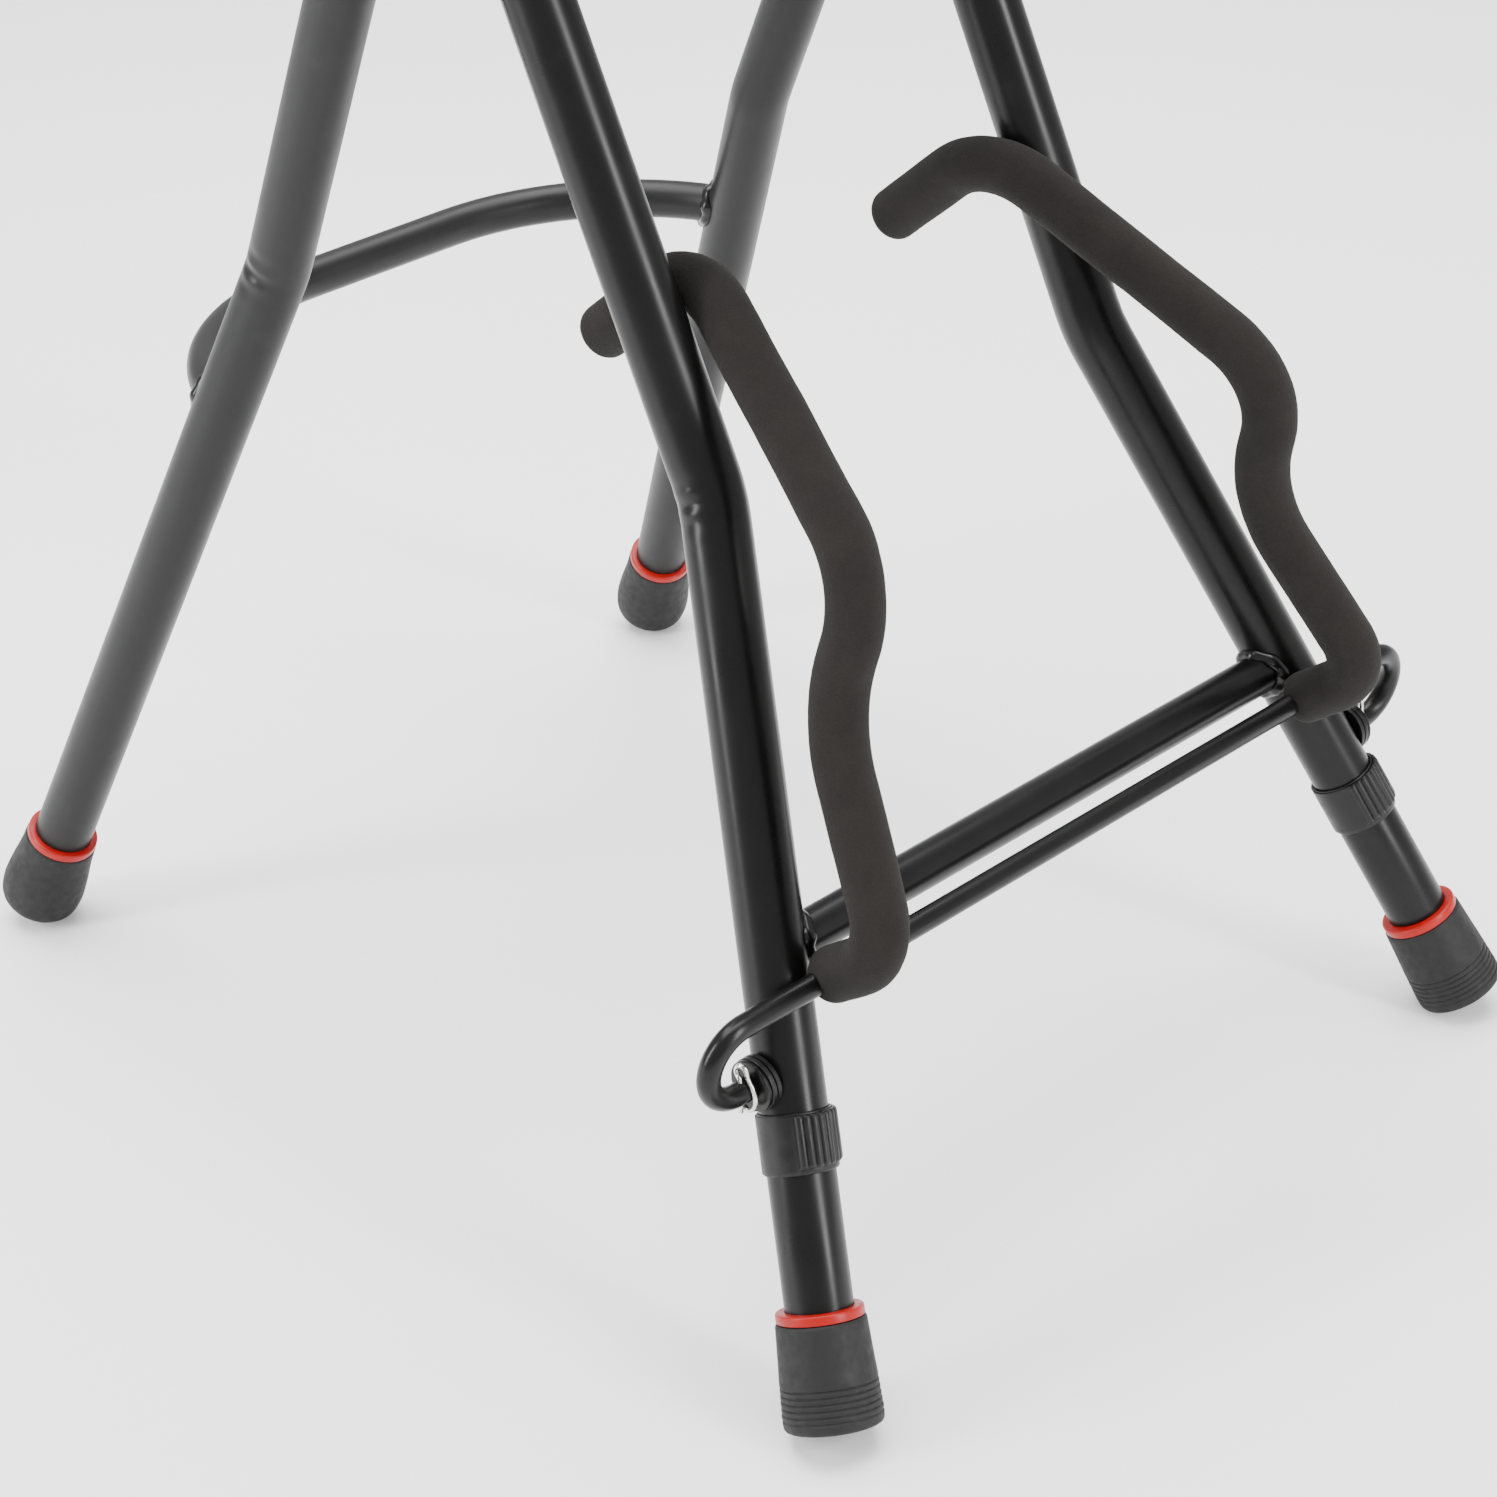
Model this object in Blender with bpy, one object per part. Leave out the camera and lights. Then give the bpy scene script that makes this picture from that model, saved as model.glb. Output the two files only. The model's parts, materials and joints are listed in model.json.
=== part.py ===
"""Folding stool frame with a fold-out guitar cradle.

Two bent-tube leg frames cross at two fold bolts. The outer frame carries the footrest, the
inner frame carries the swinging cradle, and a padded seat is hinged on the outer frame's top
tube. Units are metres. The origin is on the floor under the middle of the stool, +X points to
the right seen from the cradle side, and the cradle side is -Y.
"""

import math

import bmesh
import bpy
from mathutils import Vector

MM = 0.001
GAP = 0.3 * MM

# Leg frames
LEG_RADIUS = 14.2875 * MM
LEG_WALL = 1.5 * MM
LEG_SIDES = 16
LEAN = 0.475
FOOT_SPREAD = 290.7 * MM
FOLD_HEIGHT = FOOT_SPREAD / LEAN
OUTER_FOOT_HALF_WIDTH = 215.2 * MM
OUTER_TOP_HALF_WIDTH = 146.3 * MM
OUTER_BEND_HEIGHT = 382.0 * MM
OUTER_TOP_HEIGHT = 717.0 * MM
INNER_FOOT_HALF_WIDTH = 216.6 * MM
INNER_TOP_HALF_WIDTH = 115.8 * MM
INNER_BEND_HEIGHT = 338.6 * MM
INNER_TOP_HEIGHT = 684.0 * MM
LOWER_BEND_RADIUS = 75.0 * MM
TOP_BEND_RADIUS = 58.0 * MM
OUTER_TUBE_END_HEIGHT = 22.0 * MM

# Welded cross tubes
CROSS_RADIUS = 9.525 * MM
CROSS_WALL = 1.2 * MM
CROSS_SIDES = 12
CROSSBAR_HEIGHT = 177.8 * MM
FOOTREST_HEIGHT = 310.8 * MM
FOOTREST_REACH = 232.0 * MM
FOOTREST_BEND_RADIUS = 118.0 * MM
FOOTREST_CORNER_INSET = 27.0 * MM

# Cradle
ROD_RADIUS = 5.0 * MM
ROD_SIDES = 10
PIVOT_HEIGHT = 138.0 * MM
ROD_Y = -229.8 * MM
ROD_HEIGHT = 173.0 * MM
LOOP_START = 203.0 * MM
PIN_INNER_END = 186.0 * MM
ARM_TIP = Vector((87.4, -33.5, 372.1)) * MM
ARM_TOP_BEND = Vector((86.2, -93.2, 421.0)) * MM
ARM_WAVE_OUT = Vector((126.1, -226.5, 337.5)) * MM
ARM_WAVE_IN = Vector((132.2, -210.1, 276.9)) * MM
ARM_BOTTOM_BEND = Vector((154.3, -262.6, 196.9)) * MM
ARM_FOOT = Vector((152.5, -229.8, 173.0)) * MM
ARM_BEND_RADII = (38.0 * MM, 41.0 * MM, 60.0 * MM, 30.0 * MM)
FOAM_RADIUS = 12.0 * MM
FOAM_SIDES = 12
HIDDEN_SIDES = 8
TURNED_SIDES = 16
FOAM_END_ROUNDING = 4.5 * MM
FOAM_OVERHANG = 7.5 * MM

# Cradle pivots
PIVOT_DISC_RADIUS = 11.5 * MM
SPACER_INNER_X = 189.5 * MM
SPACER_OUTER_X = 194.5 * MM
WASHER_OUTER_X = 196.6 * MM
SPLIT_PIN_X = 201.3 * MM
SPLIT_PIN_WIRE = 0.9 * MM
SPLIT_PIN_HOLE = 2.3 * MM

# Adjustable lower legs
LEG_JOINT_HEIGHT = 110.0 * MM
EXTENSION_BORE = 10.6 * MM
SPIGOT_RADIUS = 12.4 * MM
EXTENSION_TRAVEL = 30.0 * MM
SLOT_WIDTH = 11.6 * MM
SLOT_END = 10.0 * MM
COLLAR_BOTTOM_HEIGHT = 100.3 * MM
COLLAR_TOP_HEIGHT = 121.8 * MM
COLLAR_RADIUS = 16.9 * MM
SLEEVE_RADIUS = 15.4 * MM
SLEEVE_LIP = 0.8 * MM

# Feet
FOOTREST_FOOT_LENGTH = 54.0 * MM
FOOTREST_FOOT_MOUTH = 17.7 * MM
CRADLE_FOOT_LENGTH = 48.5 * MM
CRADLE_FOOT_MOUTH = 18.6 * MM
RING_HEIGHT = 4.2 * MM
RING_INSET = 0.4 * MM
FOOT_HEEL_RADIUS = 20.8 * MM
FOOT_SOLE_THICKNESS = 8.0 * MM

# Fold bolts
BOLT_RADIUS = 4.0 * MM
BOLT_HOLE_RADIUS = 4.4 * MM
BOLT_HEAD_RADIUS = 8.0 * MM
BOLT_HEAD_HEIGHT = 4.5 * MM
NUT_RADIUS = 7.5 * MM
NUT_HEIGHT = 7.0 * MM
FOLD_WASHER_RADIUS = 10.0 * MM

# Seat
SEAT_WIDTH = 350.0 * MM
SEAT_DEPTH = 300.0 * MM
SEAT_CORNER_RADIUS = 55.0 * MM
BOARD_THICKNESS = 12.0 * MM
CUSHION_THICKNESS = 50.0 * MM
STRAP_THICKNESS = 2.4 * MM
STRAP_WIDTH = 26.0 * MM
STRAP_X = 70.0 * MM
CATCH_X = 45.0 * MM
EAR_LENGTH = 20.0 * MM
SCREW_RADIUS = 2.0 * MM
SCREW_HEAD_RADIUS = 4.2 * MM
SCREW_HEAD_HEIGHT = 2.0 * MM
SCREW_LENGTH = 9.0 * MM

OUTER_TOP_Y = FOOT_SPREAD - LEAN * OUTER_TOP_HEIGHT
INNER_TOP_Y = LEAN * INNER_TOP_HEIGHT - FOOT_SPREAD
BOARD_BOTTOM = OUTER_TOP_HEIGHT + LEG_RADIUS + STRAP_THICKNESS + 0.6 * MM
BOARD_TOP = BOARD_BOTTOM + BOARD_THICKNESS
PIVOT_Y = LEAN * PIVOT_HEIGHT - FOOT_SPREAD

X_AXIS = Vector((1.0, 0.0, 0.0))
SIDES = (("left", -1), ("right", 1))

# Colour, metallic and roughness of each material
FINISHES = {
    "powder_coat": ((0.014, 0.014, 0.015), 0.0, 0.32),
    "powder_coat_satin": ((0.033, 0.033, 0.033), 0.0, 0.42),
    "foam": ((0.030, 0.026, 0.024), 0.0, 0.95),
    "rubber": ((0.030, 0.030, 0.030), 0.0, 0.75),
    "red_plastic": ((0.62, 0.020, 0.012), 0.0, 0.35),
    "black_plastic": ((0.020, 0.020, 0.020), 0.0, 0.45),
    "zinc": ((0.62, 0.62, 0.60), 1.0, 0.28),
    "vinyl": ((0.018, 0.018, 0.019), 0.0, 0.5),
    "plywood": ((0.36, 0.24, 0.13), 0.0, 0.7),
}


def clear_scene():
    for item in list(bpy.data.objects):
        bpy.data.objects.remove(item, do_unlink=True)


def make_material(name, finish):
    """A material of its own for each sub-part, from the shared finish."""
    colour, metallic, roughness = FINISHES[finish]
    material = bpy.data.materials.new(name + "_material")
    material.use_nodes = True
    shader = material.node_tree.nodes["Principled BSDF"]
    shader.inputs["Base Color"].default_value = (*colour, 1.0)
    shader.inputs["Metallic"].default_value = metallic
    shader.inputs["Roughness"].default_value = roughness
    return material


def add_object(name, mesh, origin=None):
    """Link a mesh as an object whose origin is the given world point."""
    item = bpy.data.objects.new(name, mesh)
    if origin is not None:
        for vertex in mesh.vertices:
            vertex.co -= origin
        item.location = origin
    bpy.context.scene.collection.objects.link(item)
    return item


def loft(name, rings, finish=None, closed=False, origin=None):
    """Skin a row of equal rings. Open rows get a cap at each end, closed rows form a loop."""
    work = bmesh.new()
    rows = [[work.verts.new(point) for point in points] for points in rings]
    count = len(rows[0])
    pairs = list(zip(rows, rows[1:]))
    if closed:
        pairs.append((rows[-1], rows[0]))
    for first, second in pairs:
        for i in range(count):
            j = (i + 1) % count
            work.faces.new((first[i], first[j], second[j], second[i]))
    if not closed:
        work.faces.new(rows[0][::-1])
        work.faces.new(rows[-1])
    bmesh.ops.recalc_face_normals(work, faces=work.faces)
    mesh = bpy.data.meshes.new(name)
    work.to_mesh(mesh)
    work.free()
    mesh.shade_smooth()
    mesh.set_sharp_from_angle(angle=math.radians(35.0))
    if finish:
        mesh.materials.append(make_material(name, finish))
    return add_object(name, mesh, origin)


def cutter(name, rings):
    """A guide solid for a Boolean, left out of the model itself."""
    item = loft(name, rings)
    item.hide_render = True
    item.display_type = "WIRE"
    return item


def cut(item, tool):
    modifier = item.modifiers.new("cut_" + tool.name, "BOOLEAN")
    modifier.operation = "DIFFERENCE"
    modifier.solver = "EXACT"
    modifier.object = tool


def circle(centre, axis, radius, sides, start):
    """Points of a circle about an axis, starting towards the start direction."""
    across = (start - axis * start.dot(axis)).normalized()
    other = axis.cross(across)
    turns = [2.0 * math.pi * (i + 0.5) / sides for i in range(sides)]
    return [centre + (across * math.cos(t) + other * math.sin(t)) * radius for t in turns]


def side_direction(axis):
    """A steady direction across an axis."""
    if abs(axis.x) > 0.9:
        return Vector((0.0, 0.0, 1.0))
    return X_AXIS


def rounded_path(corners, radii, step=math.radians(15.0)):
    """Corner points joined by straight runs, with an arc of the given radius at each corner."""
    path = [corners[0]]
    for before, corner, after, radius in zip(corners, corners[1:], corners[2:], radii):
        to_before = (before - corner).normalized()
        to_after = (after - corner).normalized()
        half = to_before.angle(to_after) / 2.0
        middle = corner + (to_before + to_after).normalized() * (radius / math.sin(half))
        begin = corner + to_before * (radius / math.tan(half)) - middle
        normal = to_before.cross(to_after).normalized()
        sideways = begin.cross(normal)
        sweep = math.pi - 2.0 * half
        count = max(2, math.ceil(sweep / step))
        for i in range(count + 1):
            turn = sweep * i / count
            path.append(middle + begin * math.cos(turn) + sideways * math.sin(turn))
    path.append(corners[-1])
    return path


def sweep_rings(path, radii, sides):
    """Circles along a path, square to it, without twist."""
    tangents = []
    for i in range(len(path)):
        ahead = path[min(i + 1, len(path) - 1)]
        behind = path[max(i - 1, 0)]
        tangents.append((ahead - behind).normalized())
    across = side_direction(tangents[0])
    rings = []
    for point, tangent, radius in zip(path, tangents, radii):
        across = (across - tangent * across.dot(tangent)).normalized()
        rings.append(circle(point, tangent, radius, sides, across))
    return rings


def bar_rings(path, radius, sides):
    return sweep_rings(path, [radius] * len(path), sides)


def pipe_rings(path, radius, bore, sides):
    """Rings of an open-ended pipe, for a closed loft."""
    return bar_rings(path, radius, sides) + bar_rings(path, bore, sides)[::-1]


def turned_rings(base, axis, profile, sides):
    """Rings of a turned shape from (radius, height) pairs."""
    start = side_direction(axis)
    return [circle(base + axis * height, axis, radius, sides, start) for radius, height in profile]


def extruded(name, outline, x_from, x_to, finish):
    """A solid with an outline of (y, z) points, extruded along X."""
    rings = [[Vector((x, y, z)) for y, z in outline] for x in (x_from, x_to)]
    return loft(name, rings, finish)


def outer_leg(side, height):
    """Point on the axis of a footrest-side leg."""
    splay = (OUTER_FOOT_HALF_WIDTH - OUTER_TOP_HALF_WIDTH) / OUTER_BEND_HEIGHT
    half_width = OUTER_FOOT_HALF_WIDTH - splay * min(height, OUTER_BEND_HEIGHT)
    return Vector((side * half_width, FOOT_SPREAD - LEAN * height, height))


def inner_leg(side, height):
    """Point on the axis of a cradle-side leg."""
    splay = (INNER_FOOT_HALF_WIDTH - INNER_TOP_HALF_WIDTH) / INNER_BEND_HEIGHT
    half_width = INNER_FOOT_HALF_WIDTH - splay * min(height, INNER_BEND_HEIGHT)
    return Vector((side * half_width, LEAN * height - FOOT_SPREAD, height))


def leg_direction(leg, side):
    """Unit vector up the lower run of a leg."""
    return (leg(side, 100.0 * MM) - leg(side, 0.0)).normalized()


def frame_path(leg, end_height, bend_height, top_height):
    corners = [leg(-1, height) for height in (end_height, bend_height, top_height)]
    corners += [leg(1, height) for height in (top_height, bend_height, end_height)]
    radii = (LOWER_BEND_RADIUS, TOP_BEND_RADIUS, TOP_BEND_RADIUS, LOWER_BEND_RADIUS)
    return rounded_path(corners, radii)


def x_rod_rings(x_from, x_to, y, z, radius, sides):
    ends = [Vector((x_from, y, z)), Vector((x_to, y, z))]
    return bar_rings(ends, radius, sides)


def leg_cutter(name, leg, side, height):
    """A solid a little fatter than a leg, around the given height."""
    direction = leg_direction(leg, side)
    reach = 60.0 * MM
    ends = [leg(side, height) - direction * reach, leg(side, height) + direction * reach]
    return cutter(name, bar_rings(ends, LEG_RADIUS + 2.0 * GAP, 24))


def bolt_cutter():
    length = OUTER_TOP_HALF_WIDTH + 30.0 * MM
    return cutter("bolt_hole", x_rod_rings(-length, length, 0.0, FOLD_HEIGHT, BOLT_HOLE_RADIUS, 12))


def build_frames():
    bore = LEG_RADIUS - LEG_WALL
    hole = bolt_cutter()
    path = frame_path(outer_leg, OUTER_TUBE_END_HEIGHT, OUTER_BEND_HEIGHT, OUTER_TOP_HEIGHT)
    rings = pipe_rings(path, LEG_RADIUS, bore, LEG_SIDES)
    outer = loft("footrest_frame", rings, "powder_coat_satin", closed=True)
    cut(outer, hole)
    path = frame_path(inner_leg, LEG_JOINT_HEIGHT, INNER_BEND_HEIGHT, INNER_TOP_HEIGHT)
    rings = pipe_rings(path, LEG_RADIUS, bore, LEG_SIDES)
    inner = loft("cradle_frame", rings, "powder_coat", closed=True)
    cut(inner, hole)
    for side_name, side in SIDES:
        centre = inner_leg(side, PIVOT_HEIGHT).x
        tool = x_rod_rings(centre + side * 2.0 * MM, centre + side * 24.0 * MM,
                           PIVOT_Y, PIVOT_HEIGHT, ROD_RADIUS + 0.5 * MM, ROD_SIDES)
        cut(inner, cutter("pivot_hole_" + side_name, tool))


def build_crossbar():
    reach = inner_leg(1, CROSSBAR_HEIGHT).x
    y = inner_leg(1, CROSSBAR_HEIGHT).y
    ends = [Vector((-reach, y, CROSSBAR_HEIGHT)), Vector((reach, y, CROSSBAR_HEIGHT))]
    rings = pipe_rings(ends, CROSS_RADIUS, CROSS_RADIUS - CROSS_WALL, CROSS_SIDES)
    crossbar = loft("crossbar", rings, "powder_coat", closed=True)
    for side_name, side in SIDES:
        cut(crossbar, leg_cutter("crossbar_end_" + side_name, inner_leg, side, CROSSBAR_HEIGHT))


def build_footrest():
    corners = []
    for side in (-1, 1):
        weld = outer_leg(side, FOOTREST_HEIGHT)
        corner_x = weld.x - side * FOOTREST_CORNER_INSET
        bend = Vector((corner_x, FOOTREST_REACH, FOOTREST_HEIGHT))
        corners += [weld, bend] if side < 0 else [bend, weld]
    path = rounded_path(corners, (FOOTREST_BEND_RADIUS, FOOTREST_BEND_RADIUS))
    rings = pipe_rings(path, CROSS_RADIUS, CROSS_RADIUS - CROSS_WALL, CROSS_SIDES)
    footrest = loft("footrest_bar", rings, "powder_coat_satin", closed=True)
    for side_name, side in SIDES:
        cut(footrest, leg_cutter("footrest_end_" + side_name, outer_leg, side, FOOTREST_HEIGHT))


def x_ring(name, x_from, x_to, y, z, bore, radius, finish, sides=TURNED_SIDES, origin=None):
    """A washer or bush about an axis along X."""
    profile = ((bore, 0.0), (radius, 0.0), (radius, x_to - x_from), (bore, x_to - x_from))
    rings = turned_rings(Vector((x_from, y, z)), X_AXIS, profile, sides)
    return loft(name, rings, finish, closed=True, origin=origin)


def build_fold_bolts():
    """Each bolt runs from outside the outer leg to a nut inside the inner leg."""
    outer_face = OUTER_TOP_HALF_WIDTH + LEG_RADIUS + GAP
    inner_face = INNER_TOP_HALF_WIDTH - LEG_RADIUS - GAP
    for side_name, side in SIDES:
        tail = inner_face - NUT_HEIGHT - 1.5 * MM
        profile = ((BOLT_RADIUS, tail), (BOLT_RADIUS, outer_face),
                   (BOLT_HEAD_RADIUS, outer_face),
                   (BOLT_HEAD_RADIUS, outer_face + 0.5 * BOLT_HEAD_HEIGHT),
                   (0.6 * BOLT_HEAD_RADIUS, outer_face + BOLT_HEAD_HEIGHT))
        base = Vector((0.0, 0.0, FOLD_HEIGHT))
        rings = turned_rings(base, X_AXIS * side, profile, 12)
        loft("fold_bolt_" + side_name, rings, "zinc")
        ends = sorted((side * (inner_face - NUT_HEIGHT), side * inner_face))
        x_ring("fold_nut_" + side_name, *ends, 0.0, FOLD_HEIGHT,
               (BOLT_RADIUS + GAP) / math.cos(math.radians(30.0)), NUT_RADIUS, "zinc", sides=6)
        near = INNER_TOP_HALF_WIDTH + LEG_RADIUS + GAP
        far = OUTER_TOP_HALF_WIDTH - LEG_RADIUS - GAP
        ends = sorted((side * near, side * far))
        x_ring("fold_washer_" + side_name, *ends, 0.0, FOLD_HEIGHT,
               BOLT_RADIUS + GAP, FOLD_WASHER_RADIUS, "black_plastic")


def foot_base(leg, side, rim_radius, rim_rounding):
    """Middle of a foot's sole, placed so that the tilted rounded rim just meets the floor."""
    direction = leg_direction(leg, side)
    tilt_sine = math.sqrt(1.0 - direction.z ** 2)
    height = (rim_radius - rim_rounding) * tilt_sine + rim_rounding - rim_rounding * direction.z
    return leg(side, height)


def rounded_rim(radius, rounding, steps=3):
    """Profile points of a sole with a rounded rim."""
    points = [(0.35 * radius, 0.0)]
    for i in range(steps + 1):
        turn = 0.5 * math.pi * i / steps
        points.append((radius - rounding + rounding * math.sin(turn),
                       rounding - rounding * math.cos(turn)))
    return points


def build_foot(name, leg, side, length, mouth_radius, heel_rounding, heel_height):
    """A rubber boot with a bore for the leg, and the red ring on its mouth."""
    direction = leg_direction(leg, side)
    base = foot_base(leg, side, FOOT_HEEL_RADIUS, heel_rounding)
    mouth = length - RING_HEIGHT - GAP
    bore = LEG_RADIUS + GAP
    ring_radius = mouth_radius - RING_INSET
    profile = rounded_rim(FOOT_HEEL_RADIUS, heel_rounding)
    profile += [(FOOT_HEEL_RADIUS, heel_height), (mouth_radius + 0.6 * MM, mouth - 10.0 * MM)]
    profile += [(mouth_radius, mouth), (bore, mouth), (bore, FOOT_SOLE_THICKNESS)]
    profile += [(0.35 * bore, FOOT_SOLE_THICKNESS)]
    loft("foot_" + name, turned_rings(base, direction, profile, TURNED_SIDES), "rubber")
    ring = ((bore, length - RING_HEIGHT), (ring_radius, length - RING_HEIGHT),
            (ring_radius, length - 0.8 * MM), (ring_radius - 0.8 * MM, length), (bore, length))
    rings = turned_rings(base, direction, ring, TURNED_SIDES)
    loft("foot_ring_" + name, rings, "red_plastic", closed=True)


def build_feet():
    for side_name, side in SIDES:
        build_foot("footrest_" + side_name, outer_leg, side, FOOTREST_FOOT_LENGTH,
                   FOOTREST_FOOT_MOUTH, 9.0 * MM, 22.0 * MM)
        build_foot("cradle_" + side_name, inner_leg, side, CRADLE_FOOT_LENGTH,
                   CRADLE_FOOT_MOUTH, 3.0 * MM, 5.0 * MM)


def build_leg_extensions():
    """Lower tube with a thinner spigot inside the leg, slotted to pass the cradle pivot."""
    for side_name, side in SIDES:
        direction = leg_direction(inner_leg, side)
        base = foot_base(inner_leg, side, FOOT_HEEL_RADIUS, 3.0 * MM)
        pivot = inner_leg(side, PIVOT_HEIGHT)
        joint = (inner_leg(side, LEG_JOINT_HEIGHT) - base).length - 2.0 * GAP
        pivot_run = (pivot - base).length
        bottom = FOOT_SOLE_THICKNESS + GAP
        top = pivot_run + EXTENSION_TRAVEL + 15.0 * MM
        profile = ((EXTENSION_BORE, bottom), (LEG_RADIUS, bottom), (LEG_RADIUS, joint),
                   (SPIGOT_RADIUS, joint), (SPIGOT_RADIUS, top), (EXTENSION_BORE, top))
        rings = turned_rings(base, direction, profile, LEG_SIDES)
        extension = loft("leg_extension_" + side_name, rings, "powder_coat", closed=True)
        slot_rings = []
        for run in (pivot_run - SLOT_END, pivot_run + EXTENSION_TRAVEL + SLOT_END):
            centre = base + direction * run
            outward = (X_AXIS * side - direction * side * direction.x).normalized()
            across = direction.cross(outward) * (SLOT_WIDTH / 2.0)
            near = centre + outward * (3.0 * MM)
            far = centre + outward * (20.0 * MM)
            slot_rings.append([near - across, far - across, far + across, near + across])
        cut(extension, cutter("slot_" + side_name, slot_rings))


def build_collars():
    """Twist collar over the leg joint, and the thin sleeve that it clamps."""
    for side_name, side in SIDES:
        direction = leg_direction(inner_leg, side)
        bottom = inner_leg(side, COLLAR_BOTTOM_HEIGHT)
        length = (inner_leg(side, COLLAR_TOP_HEIGHT) - bottom).length
        joint = (inner_leg(side, LEG_JOINT_HEIGHT) - bottom).length
        bore = LEG_RADIUS + GAP
        seat = SLEEVE_RADIUS + GAP
        profile = ((bore, 0.0), (COLLAR_RADIUS - 0.6 * MM, 0.0), (COLLAR_RADIUS, 0.8 * MM),
                   (COLLAR_RADIUS, length - 0.8 * MM), (COLLAR_RADIUS - 0.6 * MM, length),
                   (seat, length), (seat, joint + 1.0 * MM), (bore, joint + 1.0 * MM))
        rings = turned_rings(bottom, direction, profile, TURNED_SIDES)
        loft("lock_collar_" + side_name, rings, "black_plastic", closed=True, origin=bottom)
        lip = length + SLEEVE_LIP
        foot = joint + 1.0 * MM + GAP
        profile = ((bore, foot), (SLEEVE_RADIUS, foot), (SLEEVE_RADIUS, lip), (bore, lip))
        rings = turned_rings(bottom, direction, profile, TURNED_SIDES)
        loft("collar_sleeve_" + side_name, rings, "black_plastic", closed=True)


def loop_points(side):
    """Half circle from the cross run back to the pivot line, on one side."""
    middle = Vector((0.0, (ROD_Y + PIVOT_Y) / 2.0, (ROD_HEIGHT + PIVOT_HEIGHT) / 2.0))
    up = Vector((0.0, ROD_Y, ROD_HEIGHT)) - middle
    points = []
    for i in range(9):
        turn = math.pi * i / 8
        x = side * (LOOP_START + up.length * math.sin(turn))
        points.append(middle + up * math.cos(turn) + X_AXIS * x)
    return points


def build_cradle_rod():
    pivot = Vector((0.0, PIVOT_Y, PIVOT_HEIGHT))
    path = [pivot - X_AXIS * PIN_INNER_END] + loop_points(-1)[::-1]
    path += loop_points(1) + [pivot + X_AXIS * PIN_INNER_END]
    rod = loft("cradle_rod", bar_rings(path, ROD_RADIUS, ROD_SIDES), "powder_coat", origin=pivot)
    for side_name, side in SIDES:
        centre = pivot + X_AXIS * (side * SPLIT_PIN_X)
        lift = Vector((0.0, 0.0, 8.0 * MM))
        rings = bar_rings([centre - lift, centre + lift], SPLIT_PIN_HOLE, 12)
        cut(rod, cutter("split_pin_hole_" + side_name, rings))


def mirrored(point, side):
    return Vector((side * point.x, point.y, point.z))


def arm_corners(side):
    corners = (ARM_FOOT, ARM_BOTTOM_BEND, ARM_WAVE_IN, ARM_WAVE_OUT, ARM_TOP_BEND, ARM_TIP)
    return [mirrored(corner, side) for corner in corners]


def arm_path(side, start_shift, end_shift):
    """The arm's centre line, lengthened or shortened at its two ends."""
    corners = arm_corners(side)
    corners[0] = corners[0] + (corners[0] - corners[1]).normalized() * start_shift
    corners[-1] = corners[-1] + (corners[-1] - corners[-2]).normalized() * end_shift
    return rounded_path(corners, ARM_BEND_RADII[::-1], math.radians(18.0))


def rounded_bar(path, radius, rounding, sides):
    """Rings of a bar whose two ends are rounded off."""
    begin = (path[0] - path[1]).normalized()
    finish = (path[-1] - path[-2]).normalized()
    turns = [math.radians(30.0 * i) for i in range(4)]
    shrink = [radius - rounding * (1.0 - math.cos(turn)) for turn in turns]
    reach = [rounding * math.sin(turn) for turn in turns]
    points = [path[0] + begin * r for r in reach[::-1]] + path[1:-1]
    points += [path[-1] + finish * r for r in reach]
    radii = shrink[::-1] + [radius] * (len(path) - 2) + shrink
    return sweep_rings(points, radii, sides)


def build_arms():
    """Bent arm rods, coped to the cradle rod, and foam over each, dented where it meets a leg."""
    pivot = Vector((0.0, PIVOT_Y, PIVOT_HEIGHT))
    reach = LOOP_START
    clear_rod = x_rod_rings(-reach, reach, ROD_Y, ROD_HEIGHT, ROD_RADIUS + GAP, ROD_SIDES)
    rod_guide = cutter("cradle_rod_clearance", clear_rod)
    for side_name, side in SIDES:
        rings = bar_rings(arm_path(side, 0.0, -20.0 * MM), ROD_RADIUS, HIDDEN_SIDES)
        arm = loft("arm_rod_" + side_name, rings, "powder_coat", origin=pivot)
        cut(arm, rod_guide)
        path = arm_path(side, FOAM_OVERHANG - FOAM_END_ROUNDING, -FOAM_END_ROUNDING)
        rings = rounded_bar(path, FOAM_RADIUS, FOAM_END_ROUNDING, FOAM_SIDES)
        foam = loft("foam_sleeve_" + side_name, rings, "foam", origin=pivot)
        rings = bar_rings(arm_path(side, 0.0, -19.0 * MM), ROD_RADIUS + GAP, HIDDEN_SIDES)
        cut(foam, cutter("arm_bore_" + side_name, rings))
        cut(foam, rod_guide)
        cut(foam, leg_cutter("foam_dent_" + side_name, inner_leg, side, ROD_HEIGHT))


def split_pin_path(centre, side):
    """Leg tip, through the hole, round the eye, back through the hole to the other tip."""
    offset = SPLIT_PIN_WIRE + 0.15 * MM
    eye_radius = 3.0 * MM
    eye = centre + Vector((0.0, 0.0, 10.5 * MM))
    across = X_AXIS * side
    points = [centre + Vector((0.0, -3.5 * MM, -11.0 * MM)) - across * offset]
    points.append(centre + Vector((0.0, 0.0, -6.5 * MM)) - across * offset)
    for i in range(8):
        turn = math.radians(-110.0 - 45.0 * i)
        points.append(eye + across * (eye_radius * math.cos(turn))
                      + Vector((0.0, 0.0, eye_radius * math.sin(turn))))
    points.append(centre + Vector((0.0, 0.0, -6.5 * MM)) + across * offset)
    points.append(centre + Vector((0.0, 4.0 * MM, -10.0 * MM)) + across * offset)
    return points


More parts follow.
